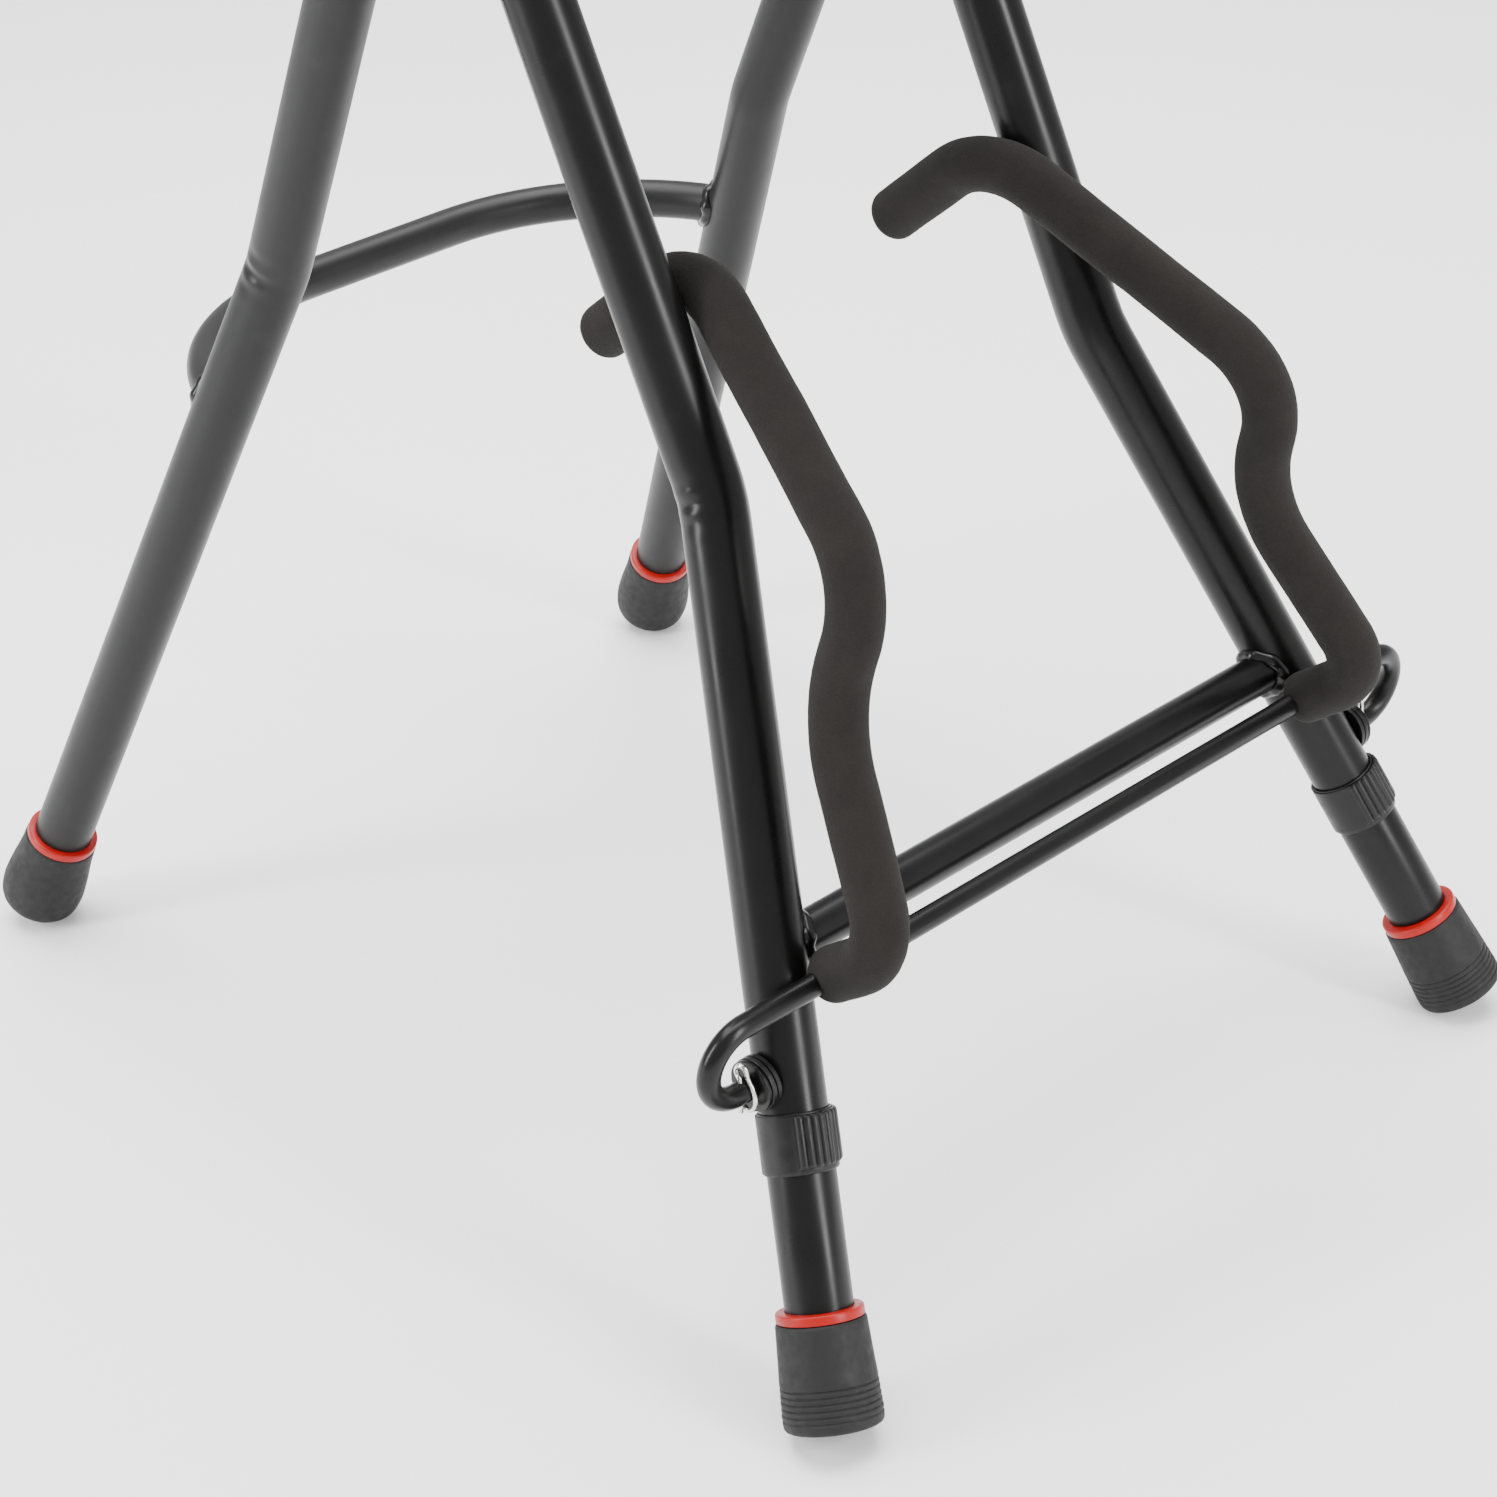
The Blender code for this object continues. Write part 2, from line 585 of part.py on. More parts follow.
def build_pivots():
    """Spacer, washer and split pin of the two cradle pivots."""
    for side_name, side in SIDES:
        ends = sorted((side * SPACER_INNER_X, side * SPACER_OUTER_X))
        spacer = x_ring("pivot_spacer_" + side_name, *ends, PIVOT_Y, PIVOT_HEIGHT,
                        ROD_RADIUS + GAP, PIVOT_DISC_RADIUS, "black_plastic", TURNED_SIDES)
        cut(spacer, leg_cutter("spacer_seat_" + side_name, inner_leg, side, PIVOT_HEIGHT))
        ends = sorted((side * (SPACER_OUTER_X + GAP), side * WASHER_OUTER_X))
        x_ring("pivot_washer_" + side_name, *ends, PIVOT_Y, PIVOT_HEIGHT,
               ROD_RADIUS + GAP, PIVOT_DISC_RADIUS - 0.6 * MM, "powder_coat", TURNED_SIDES)
        centre = Vector((side * SPLIT_PIN_X, PIVOT_Y, PIVOT_HEIGHT))
        rings = bar_rings(split_pin_path(centre, side), SPLIT_PIN_WIRE, 6)
        loft("split_pin_" + side_name, rings, "zinc")


def rounded_rectangle(width, depth, radius, height, steps=5):
    points = []
    for corner, (sx, sy) in enumerate(((1, 1), (-1, 1), (-1, -1), (1, -1))):
        for i in range(steps + 1):
            turn = math.radians(90.0 * (corner + i / steps))
            x = sx * (width / 2.0 - radius) + radius * math.cos(turn)
            y = sy * (depth / 2.0 - radius) + radius * math.sin(turn)
            points.append(Vector((x, y, height)))
    return points


def seat_slab(name, inset, bottom, top, rounding, finish):
    """A slab with a rounded outline and a rounded upper edge."""
    width = SEAT_WIDTH - 2.0 * inset
    depth = SEAT_DEPTH - 2.0 * inset
    rings = [rounded_rectangle(width, depth, SEAT_CORNER_RADIUS, bottom)]
    for i in range(4):
        turn = math.radians(30.0 * i)
        shrink = rounding * (1.0 - math.cos(turn))
        height = top - rounding + rounding * math.sin(turn)
        rings.append(rounded_rectangle(width - 2.0 * shrink, depth - 2.0 * shrink,
                                       SEAT_CORNER_RADIUS - shrink, height))
    hinge = Vector((0.0, OUTER_TOP_Y, OUTER_TOP_HEIGHT))
    return loft(name, rings, finish, origin=hinge)


def build_seat():
    seat_slab("seat_board", 4.0 * MM, BOARD_BOTTOM, BOARD_TOP, 2.0 * MM, "plywood")
    top = BOARD_TOP + GAP + CUSHION_THICKNESS
    seat_slab("seat_cushion", 0.0, BOARD_TOP + GAP, top, 18.0 * MM, "vinyl")


def arc(centre_y, centre_z, radius, from_degrees, to_degrees, steps):
    """Points (y, z) on an arc, angles from +Y towards +Z."""
    points = []
    for i in range(steps + 1):
        turn = math.radians(from_degrees + (to_degrees - from_degrees) * i / steps)
        points.append((centre_y + radius * math.cos(turn), centre_z + radius * math.sin(turn)))
    return points


def strap_outline():
    """Strap that hangs the seat board on the outer frame's top tube, open upwards."""
    inner = LEG_RADIUS + GAP
    outer = inner + STRAP_THICKNESS
    top = BOARD_BOTTOM - GAP
    under = top - STRAP_THICKNESS
    y = OUTER_TOP_Y
    z = OUTER_TOP_HEIGHT
    points = [(y - inner, top), (y - outer - EAR_LENGTH, top), (y - outer - EAR_LENGTH, under)]
    points += [(y - outer, under)] + arc(y, z, outer, 180.0, 360.0, 9)
    points += [(y + outer, under), (y + outer + EAR_LENGTH, under)]
    points += [(y + outer + EAR_LENGTH, top), (y + inner, top)]
    points += arc(y, z, inner, 360.0, 180.0, 9)
    return points


def catch_outline():
    """Catch that rests on the inner frame's top tube and stops it from spreading."""
    inner = LEG_RADIUS + GAP
    outer = inner + STRAP_THICKNESS
    top = BOARD_BOTTOM - GAP
    under = top - STRAP_THICKNESS
    y = INNER_TOP_Y
    z = INNER_TOP_HEIGHT
    rest = arc(y, z, inner, 58.0, -35.0, 5)
    back = arc(y, z, outer, -35.0, 40.0, 4)
    web = rest[0][0]
    points = rest + back
    points += [(web + STRAP_THICKNESS + 2.0 * MM, z + outer), (web + STRAP_THICKNESS, under)]
    points += [(web + STRAP_THICKNESS + EAR_LENGTH, under)]
    points += [(web + STRAP_THICKNESS + EAR_LENGTH, top), (web, top)]
    return points


def screw_rings(x, y):
    """A screw up into the seat board, with its head below the bracket ear."""
    head_top = BOARD_BOTTOM - GAP - STRAP_THICKNESS - GAP
    profile = ((0.6 * SCREW_HEAD_RADIUS, -SCREW_HEAD_HEIGHT), (SCREW_HEAD_RADIUS, -0.8 * MM),
               (SCREW_HEAD_RADIUS, 0.0), (SCREW_RADIUS, 0.0), (SCREW_RADIUS, SCREW_LENGTH))
    return turned_rings(Vector((x, y, head_top)), Vector((0.0, 0.0, 1.0)), profile, 10)


def screw_hole(name, x, y):
    height = BOARD_BOTTOM - STRAP_THICKNESS - 2.0 * MM
    profile = ((SCREW_RADIUS + GAP, 0.0), (SCREW_RADIUS + GAP, SCREW_LENGTH + 2.5 * MM))
    return cutter(name, turned_rings(Vector((x, y, height)), Vector((0.0, 0.0, 1.0)), profile, 10))


def build_brackets():
    """Straps and catches under the seat board, each held by its screws."""
    board = bpy.data.objects["seat_board"]
    strap_ear = LEG_RADIUS + GAP + STRAP_THICKNESS + EAR_LENGTH / 2.0
    catch_y = catch_outline()[-1][0] + STRAP_THICKNESS + EAR_LENGTH / 2.0
    for side_name, side in SIDES:
        half = STRAP_WIDTH / 2.0
        x = side * STRAP_X
        strap = extruded("hinge_strap_" + side_name, strap_outline(), x - half, x + half,
                         "powder_coat")
        for row, y in (("front", OUTER_TOP_Y + strap_ear), ("back", OUTER_TOP_Y - strap_ear)):
            hole = screw_hole("hole_" + row + "_" + side_name, x, y)
            cut(strap, hole)
            cut(board, hole)
            loft("strap_screw_" + row + "_" + side_name, screw_rings(x, y), "zinc")
        x = side * CATCH_X
        catch = extruded("seat_catch_" + side_name, catch_outline(), x - half, x + half,
                         "powder_coat")
        hole = screw_hole("hole_catch_" + side_name, x, catch_y)
        cut(catch, hole)
        cut(board, hole)
        loft("catch_screw_" + side_name, screw_rings(x, catch_y), "zinc")


def build_model():
    clear_scene()
    build_frames()
    build_crossbar()
    build_footrest()
    build_fold_bolts()
    build_feet()
    build_leg_extensions()
    build_collars()
    build_cradle_rod()
    build_arms()
    build_pivots()
    build_seat()
    build_brackets()


build_model()
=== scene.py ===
"""Looks of the folding stool with its fold-out guitar cradle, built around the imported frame."""

import json
import math

import bmesh
import bpy
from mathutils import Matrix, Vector, noise


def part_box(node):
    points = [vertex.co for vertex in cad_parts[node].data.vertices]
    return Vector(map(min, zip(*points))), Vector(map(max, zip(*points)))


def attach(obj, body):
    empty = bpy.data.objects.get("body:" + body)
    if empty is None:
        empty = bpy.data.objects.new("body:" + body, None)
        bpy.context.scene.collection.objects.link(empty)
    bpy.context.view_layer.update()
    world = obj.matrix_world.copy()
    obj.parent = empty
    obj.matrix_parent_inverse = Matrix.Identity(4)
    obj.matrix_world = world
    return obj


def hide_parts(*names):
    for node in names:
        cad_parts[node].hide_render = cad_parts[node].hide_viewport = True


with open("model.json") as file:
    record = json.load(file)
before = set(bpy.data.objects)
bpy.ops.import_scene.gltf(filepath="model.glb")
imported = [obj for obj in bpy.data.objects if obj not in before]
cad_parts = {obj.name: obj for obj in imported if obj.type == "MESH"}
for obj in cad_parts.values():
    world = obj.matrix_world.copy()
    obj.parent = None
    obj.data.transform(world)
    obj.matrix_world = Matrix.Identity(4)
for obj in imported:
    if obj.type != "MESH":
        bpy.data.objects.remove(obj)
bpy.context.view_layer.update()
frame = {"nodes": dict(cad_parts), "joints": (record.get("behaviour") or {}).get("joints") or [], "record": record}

MM = 0.001
UP = Vector((0.0, 0.0, 1.0))
X_AXIS = Vector((1.0, 0.0, 0.0))
SIDES = (("left", -1), ("right", 1))

# Sizes that the visual pieces share with the solids they stand for
LEG_RADIUS = 14.2875 * MM
LEG_WALL = 1.5 * MM
CROSS_RADIUS = 9.525 * MM
ROD_RADIUS = 5.0 * MM
FOAM_RADIUS = 12.0 * MM
LOWER_BEND_RADIUS = 75.0 * MM
TOP_BEND_RADIUS = 58.0 * MM
FOOTREST_BEND_RADIUS = 118.0 * MM
FOOTREST_CORNER_INSET = 27.0 * MM
LOOP_START = 203.0 * MM
FOOTREST_FOOT_LENGTH = 54.0 * MM
CRADLE_FOOT_LENGTH = 48.5 * MM
RING_HEIGHT = 4.2 * MM
CLEARANCE = 0.3 * MM
LEG_BORE = LEG_RADIUS - LEG_WALL
FOOT_BORE = LEG_RADIUS + 0.1 * MM
COLLAR_BORE = LEG_RADIUS + CLEARANCE
ARM_CORNERS = (
    Vector((0.1525, -0.2298, 0.1730)),
    Vector((0.1543, -0.2626, 0.1969)),
    Vector((0.1322, -0.2101, 0.2769)),
    Vector((0.1261, -0.2265, 0.3375)),
    Vector((0.0862, -0.0932, 0.4210)),
    Vector((0.0874, -0.0335, 0.3721)),
)
ARM_BEND_RADII = (21.0 * MM, 60.0 * MM, 41.0 * MM, 38.0 * MM)
FOAM_OVERHANG = 7.5 * MM

# Camera
CAMERA_PLACE = Vector((-0.9333, -1.0177, 0.9310))
CAMERA_TURN = (59.163, 1.916, -43.984)
CAMERA_LENS = 80.384
CAMERA_SHIFT = (0.0094, 0.0146)


def named(entries, name):
    """The entry that has this name."""
    for entry in entries:
        if entry["name"] == name:
            return entry
    raise KeyError(name)


def joint(name):
    return named(frame["joints"], name)


def mount(name):
    return named(frame["record"]["mounts"], name)


# --------------------------------------------------------------------------- leg geometry

FOLD = Vector(joint("frame_fold")["pos_m"])
SEAT_HINGE = Vector(joint("seat_tilt")["pos_m"])
PIVOT = Vector(joint("cradle_swing")["pos_m"])


class Leg:
    """Axis of one leg: a splayed lower run and an upright upper run in a leaning plane."""

    def __init__(self, sole, top_x, top_z):
        entry = mount(sole)
        self.base = Vector(entry["pos_m"])
        self.up = -Vector(entry["axis"]).normalized()
        self.bend_z = self.base.z + (abs(self.base.x) - top_x) / abs(self.up.x) * self.up.z
        self.lean = self.up.y / self.up.z
        self.top_z = top_z

    def at(self, height):
        """Point on the axis at a height above the floor."""
        lower = min(height, self.bend_z) - self.base.z
        x = self.base.x + self.up.x / self.up.z * lower
        return Vector((x, self.base.y + self.lean * (height - self.base.z), height))


def top_half_widths():
    """The fold washer fills the space between the inner and the outer leg tubes."""
    low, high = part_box("fold_washer_right")
    margin = LEG_RADIUS + CLEARANCE
    return low[0] - margin, high[0] + margin


INNER_X, OUTER_X = top_half_widths()
INNER_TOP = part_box("cradle_frame")[1][2] - LEG_RADIUS
OUTER = {name: Leg("footrest_sole_" + name, OUTER_X, SEAT_HINGE.z) for name, _ in SIDES}
INNER = {name: Leg("cradle_sole_" + name, INNER_X, INNER_TOP) for name, _ in SIDES}

# --------------------------------------------------------------------------- mesh helpers


def finish_mesh(name, mesh, material, body, node_names, smooth_angle=40.0):
    """Make a shaded piece of the mesh, on its body and in place of the nodes it stands for."""
    mesh.shade_smooth()
    mesh.set_sharp_from_angle(angle=math.radians(smooth_angle))
    mesh.materials.append(material)
    item = bpy.data.objects.new(name, mesh)
    bpy.context.scene.collection.objects.link(item)
    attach(item, body)
    if node_names:
        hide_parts(*node_names)
    return item


def skin(rings, closed=False):
    """Mesh through a row of equal rings, either closed back on itself or capped at both ends."""
    work = bmesh.new()
    rows = [[work.verts.new(point) for point in points] for points in rings]
    count = len(rows[0])
    pairs = list(zip(rows, rows[1:]))
    if closed:
        pairs.append((rows[-1], rows[0]))
    for first, second in pairs:
        for i in range(count):
            j = (i + 1) % count
            work.faces.new((first[i], first[j], second[j], second[i]))
    if not closed:
        work.faces.new(rows[0][::-1])
        work.faces.new(rows[-1])
    bmesh.ops.recalc_face_normals(work, faces=work.faces)
    mesh = bpy.data.meshes.new("skin")
    work.to_mesh(mesh)
    work.free()
    return mesh


def side_direction(axis):
    """A direction to start a circle from, well away from its axis."""
    if abs(axis.x) > 0.9:
        return UP
    return X_AXIS


def circle(centre, axis, radius, sides, start):
    """Circle about an axis; the radius is a number or a function of the angle."""
    across = (start - axis * start.dot(axis)).normalized()
    other = axis.cross(across)
    points = []
    for i in range(sides):
        turn = 2.0 * math.pi * i / sides
        reach = radius(turn) if callable(radius) else radius
        points.append(centre + (across * math.cos(turn) + other * math.sin(turn)) * reach)
    return points


def rounded_path(corners, radii, step=math.radians(2.5)):
    """Path along the corners, with an arc of the given radius at each inner one."""
    path = [corners[0]]
    for before, corner, after, radius in zip(corners, corners[1:], corners[2:], radii):
        to_before = (before - corner).normalized()
        to_after = (after - corner).normalized()
        half = to_before.angle(to_after) / 2.0
        middle = corner + (to_before + to_after).normalized() * (radius / math.sin(half))
        begin = corner + to_before * (radius / math.tan(half)) - middle
        normal = to_before.cross(to_after).normalized()
        sideways = begin.cross(normal)
        arc = math.pi - 2.0 * half
        count = max(3, math.ceil(arc / step))
        for i in range(count + 1):
            turn = arc * i / count
            path.append(middle + begin * math.cos(turn) + sideways * math.sin(turn))
    path.append(corners[-1])
    return path


def refine(path, spacing):
    """Extra points so that no step is longer than the spacing."""
    points = [path[0]]
    for first, second in zip(path, path[1:]):
        count = max(1, math.ceil((second - first).length / spacing))
        points += [first.lerp(second, (i + 1) / count) for i in range(count)]
    return points


def sweep(path, radius, sides, shape=None):
    """Circles along a path without twist. shape(i, direction) scales the radius."""
    tangents = []
    for i in range(len(path)):
        ahead = path[min(i + 1, len(path) - 1)]
        behind = path[max(i - 1, 0)]
        tangents.append((ahead - behind).normalized())
    across = side_direction(tangents[0])
    rings = []
    for i, (point, tangent) in enumerate(zip(path, tangents)):
        across = (across - tangent * across.dot(tangent)).normalized()
        size = radius[i] if isinstance(radius, list) else radius
        ring = circle(point, tangent, size, sides, across)
        if shape:
            ring = [point + (p - point) * shape(i, (p - point).normalized()) for p in ring]
        rings.append(ring)
    return rings


def pipe(path, radius, bore, sides, shape):
    """Tube with a smooth bore; shape works on its outside only."""
    return skin(sweep(path, radius, sides, shape) + sweep(path, bore, sides)[::-1], closed=True)


def lathe(base, axis, profile, sides, closed=False, start=None):
    """Turned shape; each profile entry is (radius or function of angle, height)."""
    start = start or side_direction(axis)
    rings = [circle(base + axis * height, axis, radius, sides, start) for radius, height in profile]
    return skin(rings, closed=closed)


def torus_loop(points, radii, sides):
    """A closed bead through a closed loop of points."""
    count = len(points)
    rings = []
    for i, point in enumerate(points):
        tangent = (points[(i + 1) % count] - points[i - 1]).normalized()
        outward = point - sum(points, Vector()) / count
        rings.append(circle(point, tangent, radii[i], sides, outward))
    return skin(rings, closed=True)


def round_profile(points, rounding, steps=4):
    """Round each inner corner of an open (radius, height) profile by its own amount."""
    result = [points[0]]
    for before, corner, after, amount in zip(points, points[1:], points[2:], rounding):
        if amount <= 0.0:
            result.append(corner)
            continue
        b = Vector(before) - Vector(corner)
        a = Vector(after) - Vector(corner)
        reach = min(amount, 0.49 * b.length, 0.49 * a.length)
        first = Vector(corner) + b.normalized() * reach
        last = Vector(corner) + a.normalized() * reach
        for i in range(steps + 1):
            t = i / steps
            mixed = first.lerp(Vector(corner), t).lerp(Vector(corner).lerp(last, t), t)
            result.append((mixed.x, mixed.y))
    result.append(points[-1])
    return result


# --------------------------------------------------------------------------- materials


class Nodes:
    """Small builder for node materials in object coordinates."""

    def __init__(self, name, colour, roughness, metallic=0.0):
        self.material = bpy.data.materials.new(name)
        self.material.use_nodes = True
        self.tree = self.material.node_tree
        self.shader = self.tree.nodes["Principled BSDF"]
        self.shader.inputs["Base Color"].default_value = (*colour, 1.0)
        self.shader.inputs["Roughness"].default_value = roughness
        self.shader.inputs["Metallic"].default_value = metallic
        self.colour = (*colour, 1.0)
        self.coords = self.tree.nodes.new("ShaderNodeTexCoord").outputs["Object"]

    def set(self, socket, value):
        self.shader.inputs[socket].default_value = value

    def link(self, source, target):
        self.tree.links.new(source, target)

    def noise(self, scale, detail=3.0, roughness=0.55):
        node = self.tree.nodes.new("ShaderNodeTexNoise")
        node.inputs["Scale"].default_value = scale
        node.inputs["Detail"].default_value = detail
        node.inputs["Roughness"].default_value = roughness
        self.link(self.coords, node.inputs["Vector"])
        return node.outputs["Fac"]

    def cells(self, scale):
        """Distance to the nearest cell point."""
        node = self.tree.nodes.new("ShaderNodeTexVoronoi")
        node.inputs["Scale"].default_value = scale
        self.link(self.coords, node.inputs["Vector"])
        return node.outputs["Distance"]

    def spread(self, source, low, high, to_low, to_high):
        """Stretch a range of values to another range, clamped at its ends."""
        node = self.tree.nodes.new("ShaderNodeMapRange")
        for name, value in (("From Min", low), ("From Max", high),
                            ("To Min", to_low), ("To Max", to_high)):
            node.inputs[name].default_value = value
        self.link(source, node.inputs["Value"])
        return node.outputs["Result"]

    def mix(self, factor, first, second):
        """Mix of two colours; first may be a socket."""
        node = self.tree.nodes.new("ShaderNodeMix")
        node.data_type = "RGBA"
        self.link(factor, node.inputs["Factor"])
        if isinstance(first, tuple):
            node.inputs[6].default_value = first
        else:
            self.link(first, node.inputs[6])
        node.inputs[7].default_value = second
        return node.outputs[2]

    def height(self):
        """Height above the floor at rest."""
        split = self.tree.nodes.new("ShaderNodeSeparateXYZ")
        self.link(self.coords, split.inputs["Vector"])
        return split.outputs["Z"]

    def to_colour(self, source):
        self.link(source, self.shader.inputs["Base Color"])

    def to_roughness(self, source):
        self.link(source, self.shader.inputs["Roughness"])

    def bump(self, source, strength, distance, below=None):
        """Bump on the shader, on top of an earlier bump where one is given."""
        node = self.tree.nodes.new("ShaderNodeBump")
        node.inputs["Strength"].default_value = strength
        node.inputs["Distance"].default_value = distance
        self.link(source, node.inputs["Height"])
        if below is not None:
            self.link(below, node.inputs["Normal"])
        self.link(node.outputs["Normal"], self.shader.inputs["Normal"])
        return node.outputs["Normal"]


def powder_coat(name, colour, roughness, peel, shine):
    """Baked powder paint: faint orange peel, uneven gloss and a few rubbed patches."""
    n = Nodes(name, colour, roughness)
    rubbed = tuple(min(1.0, c * 1.9 + 0.004) for c in colour) + (1.0,)
    patches = n.spread(n.noise(38.0, 5.0, 0.6), 0.58, 0.76, 0.0, 0.4)
    n.to_colour(n.mix(patches, n.colour, rubbed))
    n.to_roughness(n.spread(n.noise(30.0, 3.0), 0.3, 0.7, roughness - 0.04, roughness + 0.05))
    fine = n.bump(n.noise(1100.0, 2.0), peel, 0.00012)
    n.bump(n.noise(260.0, 2.0), 0.5 * peel, 0.00025, below=fine)
    n.set("Specular IOR Level", shine)
    return n.material


def foam_material():
    """Closed-cell foam rubber: matte, with fine open pores and pale dust specks."""
    n = Nodes("foam", (0.0125, 0.0108, 0.0101), 0.95)
    specks = n.spread(n.noise(2600.0, 2.0, 0.7), 0.60, 0.78, 0.0, 0.75)
    tone = n.spread(n.noise(60.0, 3.0), 0.3, 0.7, 0.0, 1.0)
    toned = n.mix(tone, (0.0112, 0.0097, 0.0091, 1.0), (0.0140, 0.0121, 0.0112, 1.0))
    n.to_colour(n.mix(specks, toned, (0.036, 0.032, 0.029, 1.0)))
    pores = n.bump(n.cells(1500.0), 0.35, 0.0004)
    n.bump(n.noise(700.0, 4.0, 0.65), 0.45, 0.0006, below=pores)
    n.set("Specular IOR Level", 0.10)
    n.set("Sheen Weight", 0.03)
    n.set("Sheen Roughness", 0.6)
    return n.material


def rubber_material():
    """Moulded rubber with a fine matte grain, dusty and scuffed where it meets the floor."""
    n = Nodes("rubber", (0.0092, 0.0092, 0.0092), 0.62)
    scuff = n.spread(n.noise(150.0, 6.0, 0.65), 0.50, 0.70, 0.0, 0.6)
    low = n.spread(n.height(), 0.0, 0.022, 1.0, 0.0)
    product = n.tree.nodes.new("ShaderNodeMath")
    product.operation = "MULTIPLY"
    n.link(scuff, product.inputs[0])
    n.link(low, product.inputs[1])
    n.to_colour(n.mix(product.outputs[0], n.colour, (0.030, 0.029, 0.028, 1.0)))
    n.to_roughness(n.spread(n.noise(220.0), 0.3, 0.7, 0.54, 0.72))
    n.bump(n.noise(1800.0, 3.0), 0.18, 0.0002)
    n.set("Specular IOR Level", 0.25)
    return n.material


def red_material():
    """Glossy moulded plastic with slightly uneven colour."""
    n = Nodes("red_plastic", (0.30, 0.0035, 0.0025), 0.34)
    shade = n.spread(n.noise(120.0), 0.3, 0.7, 0.0, 1.0)
    n.to_colour(n.mix(shade, (0.33, 0.004, 0.003, 1.0), (0.26, 0.003, 0.002, 1.0)))
    n.to_roughness(n.spread(n.noise(240.0), 0.3, 0.7, 0.28, 0.42))
    n.bump(n.noise(900.0, 2.0), 0.08, 0.0001)
    n.set("Specular IOR Level", 0.25)
    return n.material


def black_plastic_material():
    """Moulded nylon: satin, with faint flow marks."""
    n = Nodes("black_plastic", (0.0042, 0.0040, 0.0040), 0.38)
    n.to_roughness(n.spread(n.noise(180.0, 4.0), 0.3, 0.7, 0.34, 0.52))
    marks = n.spread(n.noise(70.0, 5.0), 0.55, 0.75, 0.0, 0.5)
    n.to_colour(n.mix(marks, n.colour, (0.010, 0.010, 0.010, 1.0)))
    n.bump(n.noise(1300.0, 2.0), 0.12, 0.00012)
    n.set("Specular IOR Level", 0.28)
    return n.material


def zinc_material():
    """Bright zinc plate with small dull patches."""
    n = Nodes("zinc", (0.66, 0.66, 0.64), 0.25, metallic=1.0)
    patches = n.spread(n.noise(320.0, 4.0), 0.35, 0.7, 0.0, 1.0)
    n.to_colour(n.mix(patches, (0.74, 0.74, 0.72, 1.0), (0.48, 0.48, 0.47, 1.0)))
    n.to_roughness(n.spread(n.noise(500.0, 3.0), 0.3, 0.7, 0.16, 0.38))
    n.bump(n.noise(1500.0, 2.0), 0.12, 0.0001)
    return n.material


def vinyl_material():
    """Upholstery vinyl with a pebbled leather grain."""
    n = Nodes("vinyl", (0.0110, 0.0110, 0.0115), 0.46)
    n.to_roughness(n.spread(n.noise(60.0, 4.0), 0.3, 0.7, 0.38, 0.56))
    tone = n.spread(n.noise(24.0, 3.0), 0.3, 0.7, 0.0, 1.0)
    n.to_colour(n.mix(tone, (0.0095, 0.0095, 0.0100, 1.0), (0.0145, 0.0145, 0.0150, 1.0)))
    n.set("Specular IOR Level", 0.30)
    grain = n.bump(n.cells(620.0), 0.45, 0.0005)
    n.bump(n.noise(240.0, 3.0), 0.25, 0.0006, below=grain)
    return n.material


def board_material():
    """Black-stained plywood: long grain with open pores."""
    n = Nodes("stained_plywood", (0.040, 0.034, 0.029), 0.6)
    stretch = n.tree.nodes.new("ShaderNodeMapping")
    stretch.inputs["Scale"].default_value = (0.12, 1.0, 1.0)
    n.link(n.coords, stretch.inputs["Vector"])
    n.coords = stretch.outputs["Vector"]
    grain = n.spread(n.noise(420.0, 5.0, 0.6), 0.4, 0.62, 0.0, 1.0)
    n.to_colour(n.mix(grain, (0.030, 0.025, 0.021, 1.0), (0.070, 0.058, 0.047, 1.0)))
    n.bump(grain, 0.25, 0.0003)
    return n.material


def floor_material():
    """Plain pale studio floor."""
    n = Nodes("studio_floor", (0.92, 0.92, 0.92), 0.6)
    n.to_roughness(n.spread(n.noise(3.0), 0.3, 0.7, 0.5, 0.62))
    return n.material


BLACK_COAT = powder_coat("black_powder_coat", (0.0036, 0.0034, 0.0034), 0.30, 0.03, 0.22)
DARK_COAT = powder_coat("satin_powder_coat", (0.0078, 0.0078, 0.0078), 0.38, 0.05, 0.24)
WELD_COAT = powder_coat("coated_weld", (0.0045, 0.0045, 0.0045), 0.24, 0.03, 0.32)
FOAM = foam_material()
RUBBER = rubber_material()
RED = red_material()
BLACK_PLASTIC = black_plastic_material()
ZINC = zinc_material()
VINYL = vinyl_material()
BOARD = board_material()

# --------------------------------------------------------------------------- leg frames

LEG_SIDES = 44
LEG_STEP = 12.0 * MM
BEND_STEP = 1.3 * MM
BEND_REACH = 36.0 * MM
WRINKLE_DEPTH = 0.055
WRINKLE_PITCH = 11.0 * MM
WRINKLE_REACH = 11.0 * MM
TUBE_END_ABOVE_SOLE = 16.0 * MM
TUBE_END_IN_SLEEVE = 6.0 * MM


def frame_path(legs, ends):
    """Axis of a whole frame: up one leg, across the top and down the other leg."""
    left = legs["left"]
    right = legs["right"]
    corners = [ends[0], left.at(left.bend_z), left.at(left.top_z)]
    corners += [right.at(right.top_z), right.at(right.bend_z), ends[1]]
    radii = (LOWER_BEND_RADIUS, TOP_BEND_RADIUS, TOP_BEND_RADIUS, LOWER_BEND_RADIUS)
    return refine(rounded_path(corners, radii), LEG_STEP)


